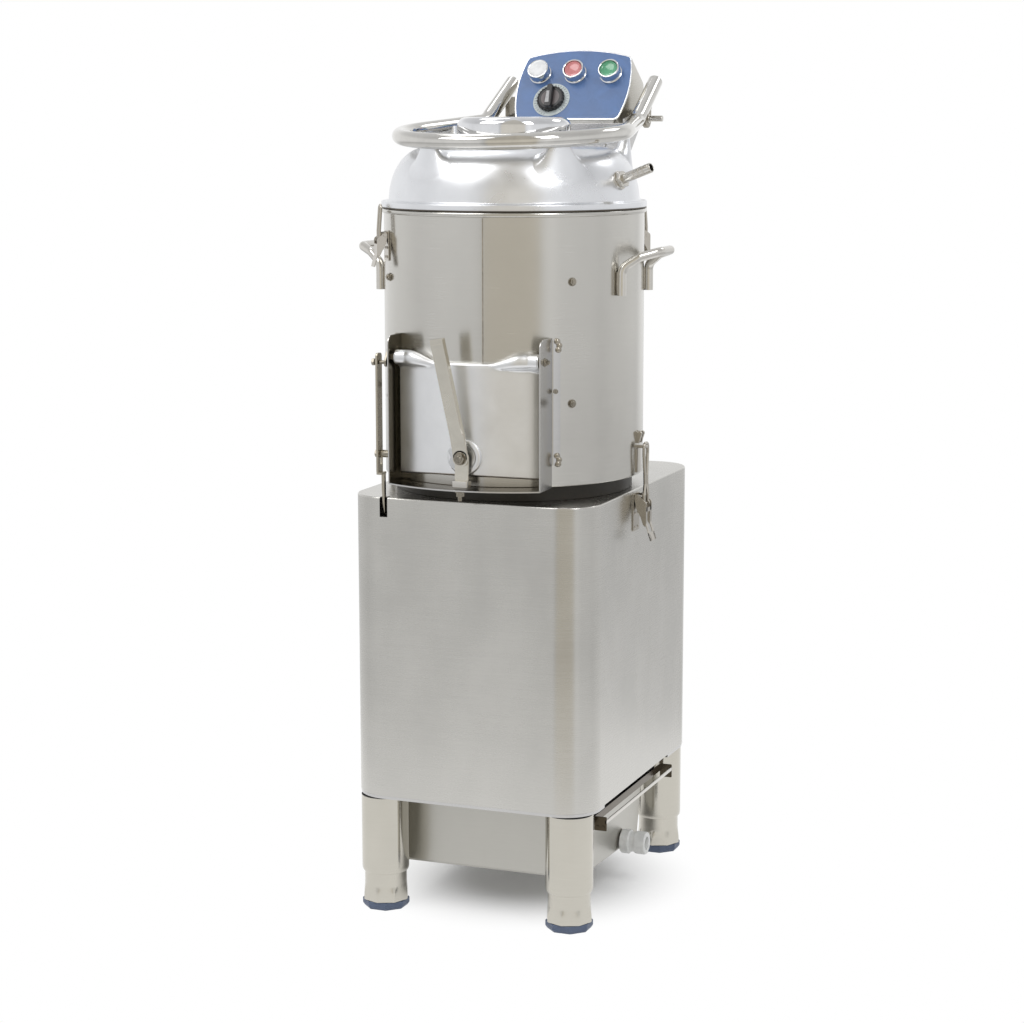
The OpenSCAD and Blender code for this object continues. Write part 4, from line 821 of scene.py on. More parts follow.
def legs():
    """Four sleeves under the cabinet, their adjustable feet and the pads."""
    profile = [(29.2, 53.5), (29.0, 51.4), (29.4, 51.0), (30.3, 51.5), (31.2, 53.0), (31.8, 55.4), (32, 58.5)]
    profile += [(32, 157.4), (31.6, 157.8), (24, 157.8), (24, 159.0), (0, 159.0), (0, 152), (30.2, 152),
                (30.2, 55)]
    sleeve = part_of(Shape().lathe(profile, 72))
    spots = [((sx * 133, y, 0), (0, 0, 1)) for sx in (-1, 1) for y in (-143, 239)]
    sleeves = clean(at_places("leg_sleeve_set", sleeve, spots, LEG_STEEL))
    # the sleeves' top faces under the cabinet are painted dark as painted shade
    painted(sleeves, DARK_CAST_AND_PAINTED_SHADE, lambda middle, normal: middle.z > 157.5)
    finished(sleeves, "stand", "leg_sleeves")
    # each foot goes from a round stem to eight flats that flare out over the pad
    n, rings = 96, []
    for z, flare, flats in ((11.2, -1.0, 1), (11.8, -0.4, 1), (16, -0.5, 1), (22, -0.8, 0.9), (27, -1.3, 0.6),
                            (31, -1.7, 0.3), (35, -2.0, 0.0), (60, -2.0, 0.0), (84, -2.0, 0.0)):
        ring = []
        for k in range(n):
            a = 2 * pi * k / n
            flat = cos(pi / 8) / cos(((a + pi / 8) % (pi / 4)) - pi / 8)
            r = (30.6 + flare + 1.6 * flats) * mix(1.0, mix(1.0, flat, 0.8), flats)
            ring.append((r * cos(a + pi / 8), r * sin(a + pi / 8), z))
        rings.append(ring)
    foot = part_of(Shape().loft(rings))
    feet = clean(at_places("foot_set", foot, spots, LEG_STEEL), sharp=30)
    finished(feet, "stand", "feet", sharp=30)
    outline = [(32 * cos(radians(45 * k + 22.5)), 32 * sin(radians(45 * k + 22.5))) for k in range(8)]
    corners = []
    for k, p in enumerate(outline):
        a, b = outline[k - 1], outline[(k + 1) % 8]
        for t in (0.10, 0.06, 0.03):
            corners.append((mix(p[0], a[0], t), mix(p[1], a[1], t)))
        for t in (0.03, 0.06, 0.10):
            corners.append((mix(p[0], b[0], t), mix(p[1], b[1], t)))
    pad = part_of(Shape().loft([[(x * f, y * f, z) for x, y in corners] for f, z in
                                ((0.90, 0), (0.92, 0.2), (0.985, 3.2), (1.0, 4.4), (1.0, 10.2),
                                 (0.985, 11))]))
    finished(clean(at_places("foot_pad_set", pad, spots, PAD_RUBBER)), "stand", "foot_pads")


# ---------------------------------------------------------------- drum

DRUM_R, RIM_Z = 174.5, 943.0
SEAM = -82.0


def seam_push(a):
    """The rolled sheet stands a little proud where its two edges meet."""
    d = abs((a - SEAM + 180) % 360 - 180)
    return 0.45 * max(1 - d / 13, 0) ** 2


def drum():
    """The rolled sheet with its rim and floor, its weld, the grit lining and the ring it sits on."""
    bead = curve(3.25, 235, -85, 22, (174.25, 939.75))
    profile = [(24.3, 592)] + [(172.0 - 60 * t, 592) for t in (1, 0.5)] + curve(2.5, -90, 0, 5,
                                                                                (170.4, 594.5))
    profile += [(173, 605), (173, 900), (173, 935)] + bead
    profile += [(174.5, 935), (174.5, 900), (174.5, 605)] + curve(2.0, 0, -90, 6,
                                                                  (172.5, 591)) + [(24.3, 589)]
    doorway = Shape().block((-88, -190, 603), (88, -133, 745))
    outlet = Shape().cylinder(19, 580, 600, 48, move=moved(98, 82, 0))
    piece("drum_wall", Shape().lathe(profile, 360, shift=seam_push), DRUM_STEEL, "stand", "drum_shell",
          cutters=(doorway, outlet))
    # the weld along the rolled sheet's joint
    weld = Shape()
    section = [(-0.9, -0.5), (0.9, -0.5), (0.8, 0.15), (0.35, 0.42), (-0.35, 0.42), (-0.8, 0.15)]
    rings = []
    for i in range(90):
        z = mix(746, 935.5, i / 89)
        swell = 1 + 0.10 * sin(i * 1.9)
        rings.append([azimuth(SEAM, DRUM_R + 0.42 + v * swell, z) @ Vector((0, u, 0)) for u, v in section])
    weld.loft(rings)
    piece("drum_seam_weld", weld, WELD_STEEL, "stand", sharp=60)
    grit_wall = Shape().lathe([(168.2, 615), (172.7, 615), (172.7, 879), (168.2, 879)], 180)
    lining = to_object("drum_lining", grit_wall, [GRIT])
    opening = Shape().prism([(0, 0)] + around(300, (-126, -54)), 600, 900)
    carved(clean(lining), opening)
    finished(lining, "stand", "abrasive_liner")
    # the seat ring is near black as painted shade
    ring = Shape().lathe([(152, 569), (159.5, 569), (160, 569.5), (160, 589), (152, 589)], 160)
    piece("drum_seat_ring", ring, SEAT_PAINTED_SHADE, "stand", "drum_seat")


def drum_bolts():
    """Lining screws with washers, the frame's two bolts, the sill's stud and the rod's guide bolt."""
    out = [((cos(radians(a)), sin(radians(a)), 0), z) for a in (-43.5, -138.5, 43.5, 138.5)
           for z in (697, 854)]
    places = [((DRUM_R * d[0], DRUM_R * d[1], z), d) for d, z in out]
    heads = at_places("lining_bolts", part_of(hex_bolt(4.5, 3.4, 5.6, 1.6, 2.2)), places, BOLT_STEEL)
    inner = Shape().lathe([(0, -4.9), (5.4, -4.9), (5.6, -4.5), (5.6, -3.9), (3, -3.2), (3, 4.6), (0, 4.6)],
                          28)
    places = [((172.6 * d[0], 172.6 * d[1], z), d) for d, z in out]
    stems = at_places("lining_stems", part_of(inner), places, BOLT_STEEL)
    side = [(cos(radians(a)), sin(radians(a)), 0) for a in (-51.2, 231.2)]
    places = [((176.2 * d[0], 176.2 * d[1], 714), d) for d in side]
    small = at_places("flange_bolts", part_of(hex_bolt(3.4, 2.2, 0, 0.8, 1.8)), places, BOLT_STEEL)
    stud = Shape().copy_of(bolt_end(3, 13, 0), moved(4, -203, 575))
    stud.copy_of(nut_shape(6, 5.4), moved(4, -203, 581.2))
    stud.copy_of(washer(7, 3, 1.2), moved(4, -203, 586.7))
    guide = turned((-1, 0, 0), (-106.5, -174, 627))
    stud.lathe([(0, 0), (5, 0), (5, 12.5), (3, 12.5), (3, 20), (0, 20)], 28, move=guide)
    stud.copy_of(washer(7, 3, 1.0), guide @ moved(0, 0, 16.2))
    stud.copy_of(nut_shape(5.5, 3.6), guide @ moved(0, 0, 17.1))
    studs = clean(to_object("studs", stud, [BOLT_STEEL]))
    finished(joined("drum_bolt_set", heads, stems, small, studs), "stand", "drum_screws",
             sharp=28)


def drum_strap(turns, inside, outside, low, high, soft):
    """Rings of a plate bent round the drum, with its outer edges and its two ends softened."""
    rings = []
    for a in turns:
        e = soft if a in (turns[0], turns[-1]) else 0
        section = ((inside, low + e), (outside - e, low + e), (outside - e, high - e), (inside, high - e))
        rings.append([point_at(a, r, z) for r, z in section])
    return rings


def door_frame():
    """Side plates, curved sill and the two weld flanges with their weld beads."""
    s = Shape()
    front, back, low, top, corner = -182.15, -139.3, 588.0, 783.0, 12.0
    outline = [(back, low), (front, low)]
    outline += around(corner, range(180, 89, -15), front + corner, top - corner) + [(back, top)]
    for sx in (-1, 1):
        s.prism(outline, 0, 2, 0.45, move=side_on(sx * 105.5 - 1))
    half = 105.6
    sill = []
    for r, way in ((211, 1), (174.0, -1)):
        turns = [mix(-way, way, i / 40) * degrees(asin(half / r)) for i in range(41)]
        sill += [(r * sin(radians(t)), -r * cos(radians(t))) for t in turns]
    s.prism(sill, 588, 590, 0.4)
    for start in (-52.7, 180 + 49.0):
        s.loft(drum_strap([start + 3.7 * i / 8 for i in range(9)], 174.4, 176.3, 619, 781, 0.3))
    plate = to_object("plates", s, [FRAME_STEEL])
    bore = [(0, -4), (4.1, -4), (4.1, 4), (0, 4)]
    holes = [Shape().lathe(bore, 32, move=turned((1, 0, 0), (sx * 105.5, *DOOR_HINGE))) for sx in (-1, 1)]
    carved(clean(plate), *holes)
    # the side plates' inner faces get the darker sheet as painted shade
    painted(plate, FRAME_PAINTED_SHADE, lambda middle, normal: abs(middle.x) < 105.4 and normal.x * middle.x < -20)
    # the sill's top gets the near-black polish as painted shade
    painted(plate, PAINTED_SHADE_POLISH, lambda middle, normal: normal.z > 0.9 and middle.z < 595)
    beads = Shape()
    for az in (-50.0, 230.0):
        for z0 in (625, 773):
            for i in range(3):
                z, k = z0 + (i - 1) * 5.4, 1 + 0.16 * sin(3.1 * i + az)
                blob = [(4.3 * k * sin(radians(t)), 4.0 * cos(radians(t))) for t in range(0, 181, 15)]
                place = azimuth(az + 0.55 * sin(2.3 * i), 176.0, z) @ Matrix.Scale(0.66, 4, (1, 0, 0))
                beads.lathe(blob, 24, move=place, closed=False)
    weld = clean(to_object("beads", beads, [WELD_STEEL]), 60)
    finished(joined("door_frame_plates", plate, weld), "stand", "door_frame")


def side_handles():
    """Bent rods whose upright legs are welded to the drum at both sides."""
    leg = DRUM_R + 6
    x, y = leg * cos(radians(18)), leg * sin(radians(18))
    for sx, side in ((-1, "left"), (1, "right")):
        half = [(sx * x, y, 833), (sx * x, y, 868), (sx * (x + 19), y - 12, 882),
                (sx * (DRUM_R + 38.5), y - 32, 889)]
        path = [(a, -b, c) for a, b, c in half] + half[::-1]
        rod = tube("handle_rod_" + side, path, 6, 14, ROD_STEEL, 40)
        welds = Shape()
        for sy in (-1, 1):
            for off in (-1, 1):
                seam = [(0, -15), (1.2, -14.6), (2.0, -13), (2.0, 13), (1.2, 14.6), (0, 15)]
                welds.lathe(seam, 16, move=moved(sx * (x - 4.9), sy * y + off * 3.6 - sy * 1.6, 849))
        bead = clean(to_object("handle_welds_" + side, welds, [WELD_STEEL]), 60)
        finished(joined("side_handle_" + side + "_rod", clean(rod, 40), bead), "stand", "side_handle_" + side,
                 sharp=40)


# ---------------------------------------------------------------- door and locking lever

def door_section(u):
    """The door's cut at a distance u from its middle: a curved plate whose top rolls into a hinge barrel."""
    outer, inner = -sqrt(186 ** 2 - u * u), -sqrt(178 ** 2 - u * u)
    roll = ease((abs(u) - 34) / 46)
    r = mix(3.95, 10, roll)
    middle, height = min(inner, -156) - r, mix(747, 754, roll)

    def front(z):
        """Outer face: the plate and the barrel, joined by a soft fillet."""
        drop = height - z
        barrel = middle - sqrt(max(r * r - drop * drop, 0)) if drop < r else middle + (drop - r) * 2.2
        soft = mix(0.5, 9, roll)
        h = min(max(0.5 + 0.5 * (outer - barrel) / soft, 0), 1)
        return mix(outer, barrel, h) - soft * h * (1 - h)

    def rear(z):
        return mix(inner, middle + r, ease((z - height + 14) / 13))

    low = 605.0 - 4.5 * (u / 98.5) ** 2
    up = [low + 3, low + 12, 650, 690, 712] + [height - 26 + 1.6 * i for i in range(16)]
    points = [(outer + 3 - 3 * cos(radians(a)), low + 3 - 3 * sin(radians(a))) for a in (80, 60, 40, 20)]
    points += [(front(z), z) for z in up]
    points += around(r, range(174, 5, -8), middle, height)
    points += [(rear(z), z) for z in up[::-1]]
    points += [(inner - 1.5 + 1.5 * cos(radians(a)), low + 1.5 - 1.5 * sin(radians(a))) for a in (20, 50, 80)]
    return points


def door_panel():
    """Cast door: the curved plate with its barrels, the lever's raised boss and the barrels' end rings."""
    half = 98.5
    us = [mix(-half, half, i / 96) for i in range(97)]
    rings = []
    for inset in (1.6, 0.5):
        edge = pulled_in(anticlockwise(door_section(-half)), inset)
        rings.append([(us[0] - (0.9 - 0.5 * inset), y, z) for y, z in edge])
    rings += [[(u, y, z) for y, z in anticlockwise(door_section(u))] for u in us]
    for inset in (0.5, 1.6):
        edge = pulled_in(anticlockwise(door_section(half)), inset)
        rings.append([(us[-1] + (0.9 - 0.5 * inset), y, z) for y, z in edge])
    s = Shape().loft(rings)
    boss = [(0, 0), (23.4, 0), (23.4, 4.6), (22.9, 5.6), (21.9, 6.5), (20.4, 7.0), (17.6, 7.2), (16.6, 6.9),
            (15.8, 6.4), (0, 6.2)]
    s.lathe(boss, 64, move=turned((0, -1, 0), (BOLT_X, -183.2, BOLT_Z)))
    for sx in (-1, 1):
        s.lathe([(4.2, 0), (9.2, 0), (9.6, 0.5), (9.6, 1.7), (9.0, 2.2), (4.2, 2.2)], 40,
                move=turned((sx, 0, 0), (sx * 98.3, *DOOR_HINGE)))
    piece("door_casting", s, DOOR_CAST, "door", "door_panel", sharp=30)


# the door's hinge pins lie at this depth and height; the lever turns on a bolt at this x and height
DOOR_HINGE = (-166, 754)
BOLT_X, BOLT_Z = 4, 630
LEVER = moved(BOLT_X, -198, BOLT_Z) @ spun(-9, "Y")


def door_lever():
    """Bent strip that turns on the bolt, and its foot: a block, a round boss and a cam plate."""
    knee, t = 28, 4
    reach = 158 - knee
    s8, c8 = sin(radians(8)), cos(radians(8))
    front = [(-t, -2), (-t, knee - t * tan(radians(4))), (-reach * s8 - t * c8, knee + reach * c8 - t * s8),
             (-reach * s8, knee + reach * c8), (0, knee), (0, -2)]
    s = Shape().prism(front, -10, 10, 0.55, move=LEVER @ side_on(0))
    s.prism(around(11, range(0, 360, 10)), 0, t, 0.6,
            move=LEVER @ turned((0, -1, 0)))
    lean = LEVER @ moved(0, 0, knee) @ spun(8, "X")
    lip = [(-t - 1.2, 4), (-t + 1, 2), (-t + 1, reach - 0.6), (-t - 4.8, reach - 0.6), (-t - 5, reach - 2),
           (-t - 5, 16)]
    s.prism(lip, 7.9, 9.95, 0.4, move=lean @ side_on(0))
    s.prism([(-9.9, reach - 7.5), (9.9, reach - 7.5), (9.9, reach - 6.3), (-9.9, reach - 6.3)], t - 0.1,
            t + 0.5, 0.25, move=lean @ FACING_FRONT)
    piece("lever_strip", s, LEVER_STEEL, "lever", "door_lever")
    s = Shape().prism(round_box(BOLT_X - 9.5, BOLT_X + 9.5, 600, 634, 2), 194.6, 198, 0.5,
                      move=FACING_FRONT)
    s.prism(around(9.5, range(0, 360, 10)), 0, 3.4, 0.5,
            move=turned((0, -1, 0), (BOLT_X, -194.6, BOLT_Z)))
    s.prism(round_box(BOLT_X - 11, BOLT_X + 11, -205, -191, 2.2), 592.1, 601, 0.9, finish=1)
    # cam plate between the lever and the door
    cam = [(-9, 641), (-13.5, 642.5), (-16.5, 638), (-13, 630), (-16, 622), (-12, 616.5), (-2, 615.5),
           (5, 618), (5, 640)]
    s.prism(cam, 190.4, 194.3, 0.8, finish=2, move=FACING_FRONT)
    piece("lever_foot", s, [LEVER_STEEL, ROD_STEEL, CAM_STEEL], "lever", "lever_post")


def door_bolts():
    """Hinge pins, the crank on the left pin, and the lever's bolt."""
    s = Shape()
    s.cylinder(4, 0, 27, 28, move=turned((1, 0, 0), (80.5, *DOOR_HINGE)))
    s.copy_of(washer(5.6, 3.9, 0.8), turned((1, 0, 0), (106.6, *DOOR_HINGE)))
    s.copy_of(nut_shape(4.8, 2.6), turned((1, 0, 0), (107.3, *DOOR_HINGE)))
    s.copy_of(bolt_end(2.7, 3.4, 109.8 - 107.3), turned((1, 0, 0), (107.3, *DOOR_HINGE)))
    s.cylinder(4, 0, 28, 28, move=turned((-1, 0, 0), (-80.5, *DOOR_HINGE)))
    far, tilt = hypot(12, 6.3), atan2(-6.3, -12)
    crank = around(5, range(170, 321, 15), -14, -15)
    crank = around(8, range(60, 181, 12)) + crank
    crank += around(6, range(-70, 71, 10), far)
    s.prism(crank, -110.5, -107.5, 0.5,
            move=side_on(0) @ moved(*DOOR_HINGE, 0) @ Matrix.Rotation(tilt, 4, "Z"))
    pin = turned((-1, 0, 0), (-110.4, -178, 747.7))
    s.cylinder(2.5, 0, 16, 20, move=pin)
    s.copy_of(washer(5.6, 2.4, 0.8), pin @ moved(0, 0, 12.3))
    s.copy_of(nut_shape(5, 3.4), pin @ moved(0, 0, 15.2))
    s.copy_of(bolt_end(2.4, 1.2, 18.4), pin)
    bolt = turned((0, -1, 0), (BOLT_X, -182, BOLT_Z))
    s.cylinder(5, 0, 24.4, 28, move=bolt)
    s.copy_of(washer(8.6, 4.9, 1.1), bolt @ moved(0, 0, 20.2))
    s.copy_of(nut_shape(7.6, 5.2), bolt @ moved(0, 0, 21.2))
    s.copy_of(bolt_end(4.2, 1.8, 26.2), bolt)
    piece("door_pins", s, BOLT_STEEL, "door", "door_bolts", sharp=28)


def interlock():
    """Slotted rod beside the door, stepping in to the strip that goes down to the cabinet's switch."""
    rod = Shape().prism(round_box(-184.4, -168.9, 600, 759.7, 5, steps=6), -122.5, -119.5, 0.5,
                        move=side_on(0))
    crank = Shape().prism(round_box(-182.3, -173.7, 744.9, 750.5, 2.79, steps=6), -130, -110, move=side_on(0))
    guide = Shape().prism(round_box(-177.4, -170.6, 611.6, 630.4, 3.39, steps=6), -130, -110, move=side_on(0))
    obj = to_object("rod", rod, [ROD_STRIP])
    carved(clean(obj), crank, guide)
    low = Shape().prism(round_box(-184.4, -168.9, -122.4, -114.6, 0.8, steps=3), 600, 603, 0.4,
                        move=Matrix(((0, 1, 0, 0), (1, 0, 0, 0), (0, 0, 1, 0), (0, 0, 0, 1))))
    tongue = [(-118.6, 602), (-118.4, 580), (-117.2, 562), (-114.6, 548), (-114.2, 548), (-114.4, 564),
              (-114.4, 602)]
    low.prism(tongue, 171.2, 176.8, 0.3, move=FACING_FRONT)
    finished(joined("interlock_strip", obj, clean(to_object("foot", low, [ROD_STRIP]))), "interlock",
             "interlock_rod")


# ---------------------------------------------------------------- toggle latches

Latch = namedtuple("Latch", "pivot pin_offset half_width lever rise hook_top plate forked")
LID_LATCH = Latch(pivot=5.5, pin_offset=6.5, half_width=9, lever=42, rise=39, hook_top=9.5, plate=40,
                  forked=False)
BASE_LATCH = Latch(pivot=6.5, pin_offset=8, half_width=12, lever=58, rise=73, hook_top=14, plate=52,
                   forked=True)
LATCH_SHEET = 1.5


def latch_base(kind, move):
    """Base plate with two ears, their pin and four rivets."""
    pivot, half, plate = kind.pivot, kind.half_width, kind.plate
    shape = Shape().prism(round_box(-half - 1, half + 1, 6 - plate, 6, 2.5, steps=4), 0, 1.6, 0.5,
                          move=move @ side_on(0))
    across = move @ FACING_BACK
    ear = [(0.5, -4.5)] + around(4, range(-90, 91, 15), pivot) + [(0.5, 4.5)]
    for y in (-half + 3.45, half - 4.95):
        shape.prism(ear, y, y + LATCH_SHEET, 0.3, move=across)
    pin = [(0, -half - 0.6), (2.6, -half - 0.6), (2.9, -half - 0.1), (2.0, -half)]
    shape.lathe(pin + [(r, -z) for r, z in pin[::-1]], 20, move=across @ moved(pivot, 0, 0))
    for z in (6 - plate + 5, -plate * 0.42):
        for y in (-half * 0.45, half * 0.45):
            shape.lathe([(0, 1.0), (2.3, 1.4), (2.1, 2.1), (1.3, 2.6), (0, 2.75)], 16,
                        move=move @ moved(0, y, z) @ spun(90, "Y"))
    return shape


def latch_lever(kind, move):
    """Pressed channel: two cheeks on the pivot, a web, and a finger tab that flares out."""
    pivot, offset, half, length = kind.pivot, kind.pin_offset, kind.half_width, kind.lever
    pin_x, web = pivot + offset, pivot + offset + 4.5
    low = -length * 0.62
    cheek = around(pivot - 2, range(195, 60, -15), pivot)
    cheek += around(4.5, range(65, -1, -13), pin_x, -offset)
    cheek += [(web, low + 2), (web - 1.5, low - 3), (web - 4.5, low), (web - 8, low * 0.72),
              (pivot - 1.5, low * 0.40)]
    across = move @ FACING_BACK
    shape = Shape()
    for y in (-half, half - LATCH_SHEET):
        shape.prism(cheek, y, y + LATCH_SHEET, 0.35, move=across)
    # the tab is 0.42 of the lever's length and leans out by 24 degrees, given here as its sine and cosine
    tip = (web - 4 + 0.407 * 0.42 * length + 0.4, low + 1 - 0.914 * 0.42 * length)
    path = along([(web - 0.75, 0, -offset - 5), (web - 0.75, 0, low + 1), (tip[0], 0, tip[1])], 9, 8)
    strips = [(path, -half + 0.1, half - 0.1)]
    if kind.forked:
        # the big lever's web ends below the pin in two prongs that a tab joins at their tips
        cut = path[0] + (path[1] - path[0]) * 0.25
        strips = [([path[0], cut], -half + 0.1, half - 0.1), (path, -half + 0.1, -half + 6.5),
                  (path, half - 6.5, half - 0.1),
                  ([path[-1] + (path[-2] - path[-1]) * 0.5, path[-1]], -half + 0.1, half - 0.1)]
    for line, low_y, high_y in strips:
        n, rings = len(line), []
        for i, p in enumerate(line):
            ahead = (line[min(i + 1, n - 1)] - line[max(i - 1, 0)]).normalized()
            side = Vector((ahead.z, 0, -ahead.x))
            rings.append([p + side * u + Vector((0, v, 0)) for u, v in
                          ((-0.7, low_y + 0.4), (-0.3, low_y), (0.3, low_y), (0.7, low_y + 0.4),
                           (0.7, high_y - 0.4), (0.3, high_y), (-0.3, high_y), (-0.7, high_y - 0.4))])
        end = line[-1] + (line[-1] - line[-2]).normalized() * 0.7
        middle = line[-1] + Vector((0, (low_y + high_y) / 2, 0))
        rings.append([end + Vector((0, (low_y + high_y) / 2, 0)) + (Vector(q) - middle) * 0.82
                      for q in rings[-1]])
        shape.loft(rings, move=move)
    pin = [(0, -half - 0.4), (2.0, -half - 0.4), (1.5, -half)]
    shape.lathe(pin + [(r, -z) for r, z in pin[::-1]], 16, move=across @ moved(pin_x, -offset, 0))
    return shape


def latch_hook(name, kind, wire, move):
    """Bent wire bail with an eye at each leg's end."""
    offset, rise, top = kind.pin_offset, kind.rise, kind.hook_top
    x, leg = kind.pivot + offset, kind.half_width - LATCH_SHEET - 0.6 - wire
    if kind.forked:
        waist = leg * 0.5
        side = [(x, -leg, -offset + 2.6), (x, -leg, 4), (x, -waist, 18), (mix(x, top, 0.4), -waist, 30)]
        side += [(top, -leg, rise - 14), (top, -leg, rise)]
    else:
        side = [(x, -leg, -offset + 2.6), (x, -leg, 6), (top, -leg, rise)]
    path = side + [(a, -b, c) for a, b, c in side[::-1]]
    bail = tube(name, [move @ Vector(p) for p in path], wire, 3.2 + wire, LATCH_STEEL, 20)
    eyes = Shape()
    for y in (-leg, leg):
        eye = [(1.6, -wire + 0.1), (2.9, -wire + 0.1), (3.3, -wire * 0.5)]
        eyes.lathe(eye + [(r, -z) for r, z in eye[::-1]], 24,
                   move=move @ moved(x, y, -offset) @ spun(90, "X"))
    return joined(name, clean(bail, 40), clean(to_object("eyes", eyes, [LATCH_STEEL])))


def latches():
    """Two latches at the lid and two at the cabinet's sides, then the drum's noses for the lower two."""
    base_right = moved(CAB_X, 9, 559)
    seats = (("lid", "front", LID_LATCH, azimuth(-142, DRUM_R, RIM_Z - 34), 1.8),
             ("lid", "rear", LID_LATCH, azimuth(38, DRUM_R, RIM_Z - 34), 1.8),
             ("base", "left", BASE_LATCH, Matrix.Scale(-1, 4, (1, 0, 0)) @ base_right, 2.2),
             ("base", "right", BASE_LATCH, base_right, 2.2))
    bases = Shape()
    for place, side, kind, move, wire in seats:
        name = f"{place}_{side}_latch"
        bases.copy_of(latch_base(kind, move))
        piece(name + "_lever", latch_lever(kind, move), LATCH_STEEL, f"{place}_lever_{side}",
              f"{place}_latch_lever_{side}", sharp=30)
        finished(latch_hook(name + "_wire", kind, wire, move), f"{place}_hook_{side}",
                 f"{place}_latch_hook_{side}", sharp=40)
    piece("latch_plates", bases, LATCH_STEEL, "stand", "latch_bases")
    # the nose on the drum above each lower latch
    s = Shape()
    for sx in (-1, 1):
        flip = Matrix.Scale(sx, 4, (1, 0, 0))
        half = 12 - 1.5 - 0.6 - 2.2 - 1.03 * 2.2 - 1
        nose = [(DRUM_R - 0.6, 625.5), (186.6, 625.5), (187, 626), (187, 628.2), (186.0, 629.5),
                (DRUM_R - 0.6, 629.5)]
        across = flip @ Matrix(((1, 0, 0, 0), (0, 0, 1, 9), (0, 1, 0, 0), (0, 0, 0, 1)))
        s.prism(nose, -half, half, 0.4, move=across)
        for y in (-4.8, 4.8):
            ear = [(DRUM_R - 0.6, 632), (177.5, 632)] + around(3.4, range(-30, 121, 15), 178.2,
                                                               645) + [(DRUM_R - 0.6, 647.5)]
            s.prism(ear, y - 2.1, y + 2.1, 1.2, move=across, steps=4)
        strap = drum_strap([2.96 + (i - 4) * 0.90 for i in range(9)], DRUM_R - 0.3, DRUM_R + 1.7, 593, 625,
                           0.4)
        s.loft([[flip @ p for p in ring] for ring in strap])
    piece("drum_hook_noses", s, LATCH_STEEL, "stand", "drum_catches")


# ---------------------------------------------------------------- column and control box

PANEL = moved(0, 202, 1057) @ spun(57, "X")


def panel_edge(inset, corner=7.0):
    """Bowed sides, an arched top and a flat foot, with round corners."""
    d = inset + corner
    side, top, foot = 168 - d, 262 - d, d
    y_top = 0.0
    lo, hi = 60.0, 116.0
    for _ in range(50):
        y_top = (lo + hi) / 2
        u = sqrt(side ** 2 - (y_top - 55) ** 2) - 83
        if y_top < -146 + sqrt(top ** 2 - u * u):
            lo = y_top
        else:
            hi = y_top
    vs = [mix(foot, y_top, i / 24) for i in range(25)]
    rights = [(sqrt(side ** 2 - (v - 55) ** 2) - 83, v) for v in vs]
    corner_u = rights[-1][0]
    us = [mix(corner_u, -corner_u, i / 32) for i in range(1, 32)]
    tops = [(u, -146 + sqrt(top ** 2 - u * u)) for u in us]
    sharp = rights + tops + [(-u, v) for u, v in rights[::-1]]
    out, n = [], len(sharp)
    for i, p in enumerate(sharp):
        a, b = Vector(p) - Vector(sharp[i - 1]), Vector(sharp[(i + 1) % n]) - Vector(p)
        a0, b0 = atan2(-a.x, a.y), atan2(-b.x, b.y)
        turn = (b0 - a0 + pi) % (2 * pi) - pi
        steps = max(int(abs(degrees(turn)) / 8), 0)
        for k in range(steps + 1):
            w = a0 + (turn * k / steps if steps else turn / 2)
            out.append((p[0] + corner * cos(w), p[1] + corner * sin(w)))
    return out


def panel_rings(levels):
    """The panel's outline at each (inset, height)."""
    return [[(u, v, z) for u, v in panel_edge(d)] for d, z in levels]


def column_and_box():
    """Column behind the drum, the lid's hinge saddle on it, and the control box with its front."""
    side = [(190, 569), (250, 569), (250, 1025.8), (202, 1057), (190, 1057)]
    piece("rear_column", Shape().prism(side, -75, 75, 2.5, move=side_on(0), steps=3), STEEL, "stand",
          "column")
    s = Shape().prism(round_box(-92, 92, 1013, 1053, 4), -190, -187, 0.5,
                      move=FACING_FRONT)
    for sx in (-1, 1):
        cheek = [(187.2, 1013), (214, 1013)]
        cheek += around(12, range(-50, 121, 10), *LID_HINGE) + [(187.2, LID_HINGE[1])]
        s.prism(cheek, sx * 90.5 - 1.5, sx * 90.5 + 1.5, 0.5, move=side_on(0))
        pin = turned((sx, 0, 0), (sx * 89, *LID_HINGE))
        profile = [(0, -1), (9, -1), (9, 0.6), (6, 0.8), (6, 18.4), (4.2, 18.8), (4.2, 37.2), (3.8, 37.8),
                   (0, 38)]
        s.lathe(profile, 32, finish=1, move=pin)
        for z in (1022, 1044):
            s.copy_of(nut_shape(5, 3), turned((0, -1, 0), (sx * 60, 187.2, z)))
    piece("hinge_saddle", s, [FRAME_STEEL, ROD_STEEL], "stand", "hinge_brackets")
    depth, edge = 65.0, 5.0
    levels = [(edge - edge * sin(radians(a)), -depth + edge - edge * cos(radians(a)))
              for a in range(0, 91, 15)]
    rings = panel_rings(levels + [(0, -40), (0, -2), (0, -0.4), (0.4, 0)])
    piece("control_housing", Shape().loft(rings, move=PANEL), BOX_STEEL, "stand", "control_box")
    s = Shape().loft(panel_rings([(0.2, 0), (0.0, 0.5), (0.0, 1.3), (0.5, 1.9), (1.4, 2.0)]), move=PANEL)
    s.loft(panel_rings([(1.5, 1.0), (1.5, 1.75), (1.8, 2.02)]), finish=1, move=PANEL)
    piece("panel_front", s, [EDGE_TRIM, BLUE_FILM], "stand", "fascia")


BEZEL = [(12.9, 2), (15.9, 2), (16.2, 2.4), (16.2, 3.8), (15.0, 4.4), (14.5, 5.4), (15.0, 6.4), (15.4, 7.4),
         (15.5, 15.6), (15.2, 16.9), (14.5, 17.7), (13.8, 17.8), (13.1, 17.3), (12.9, 16.4)]


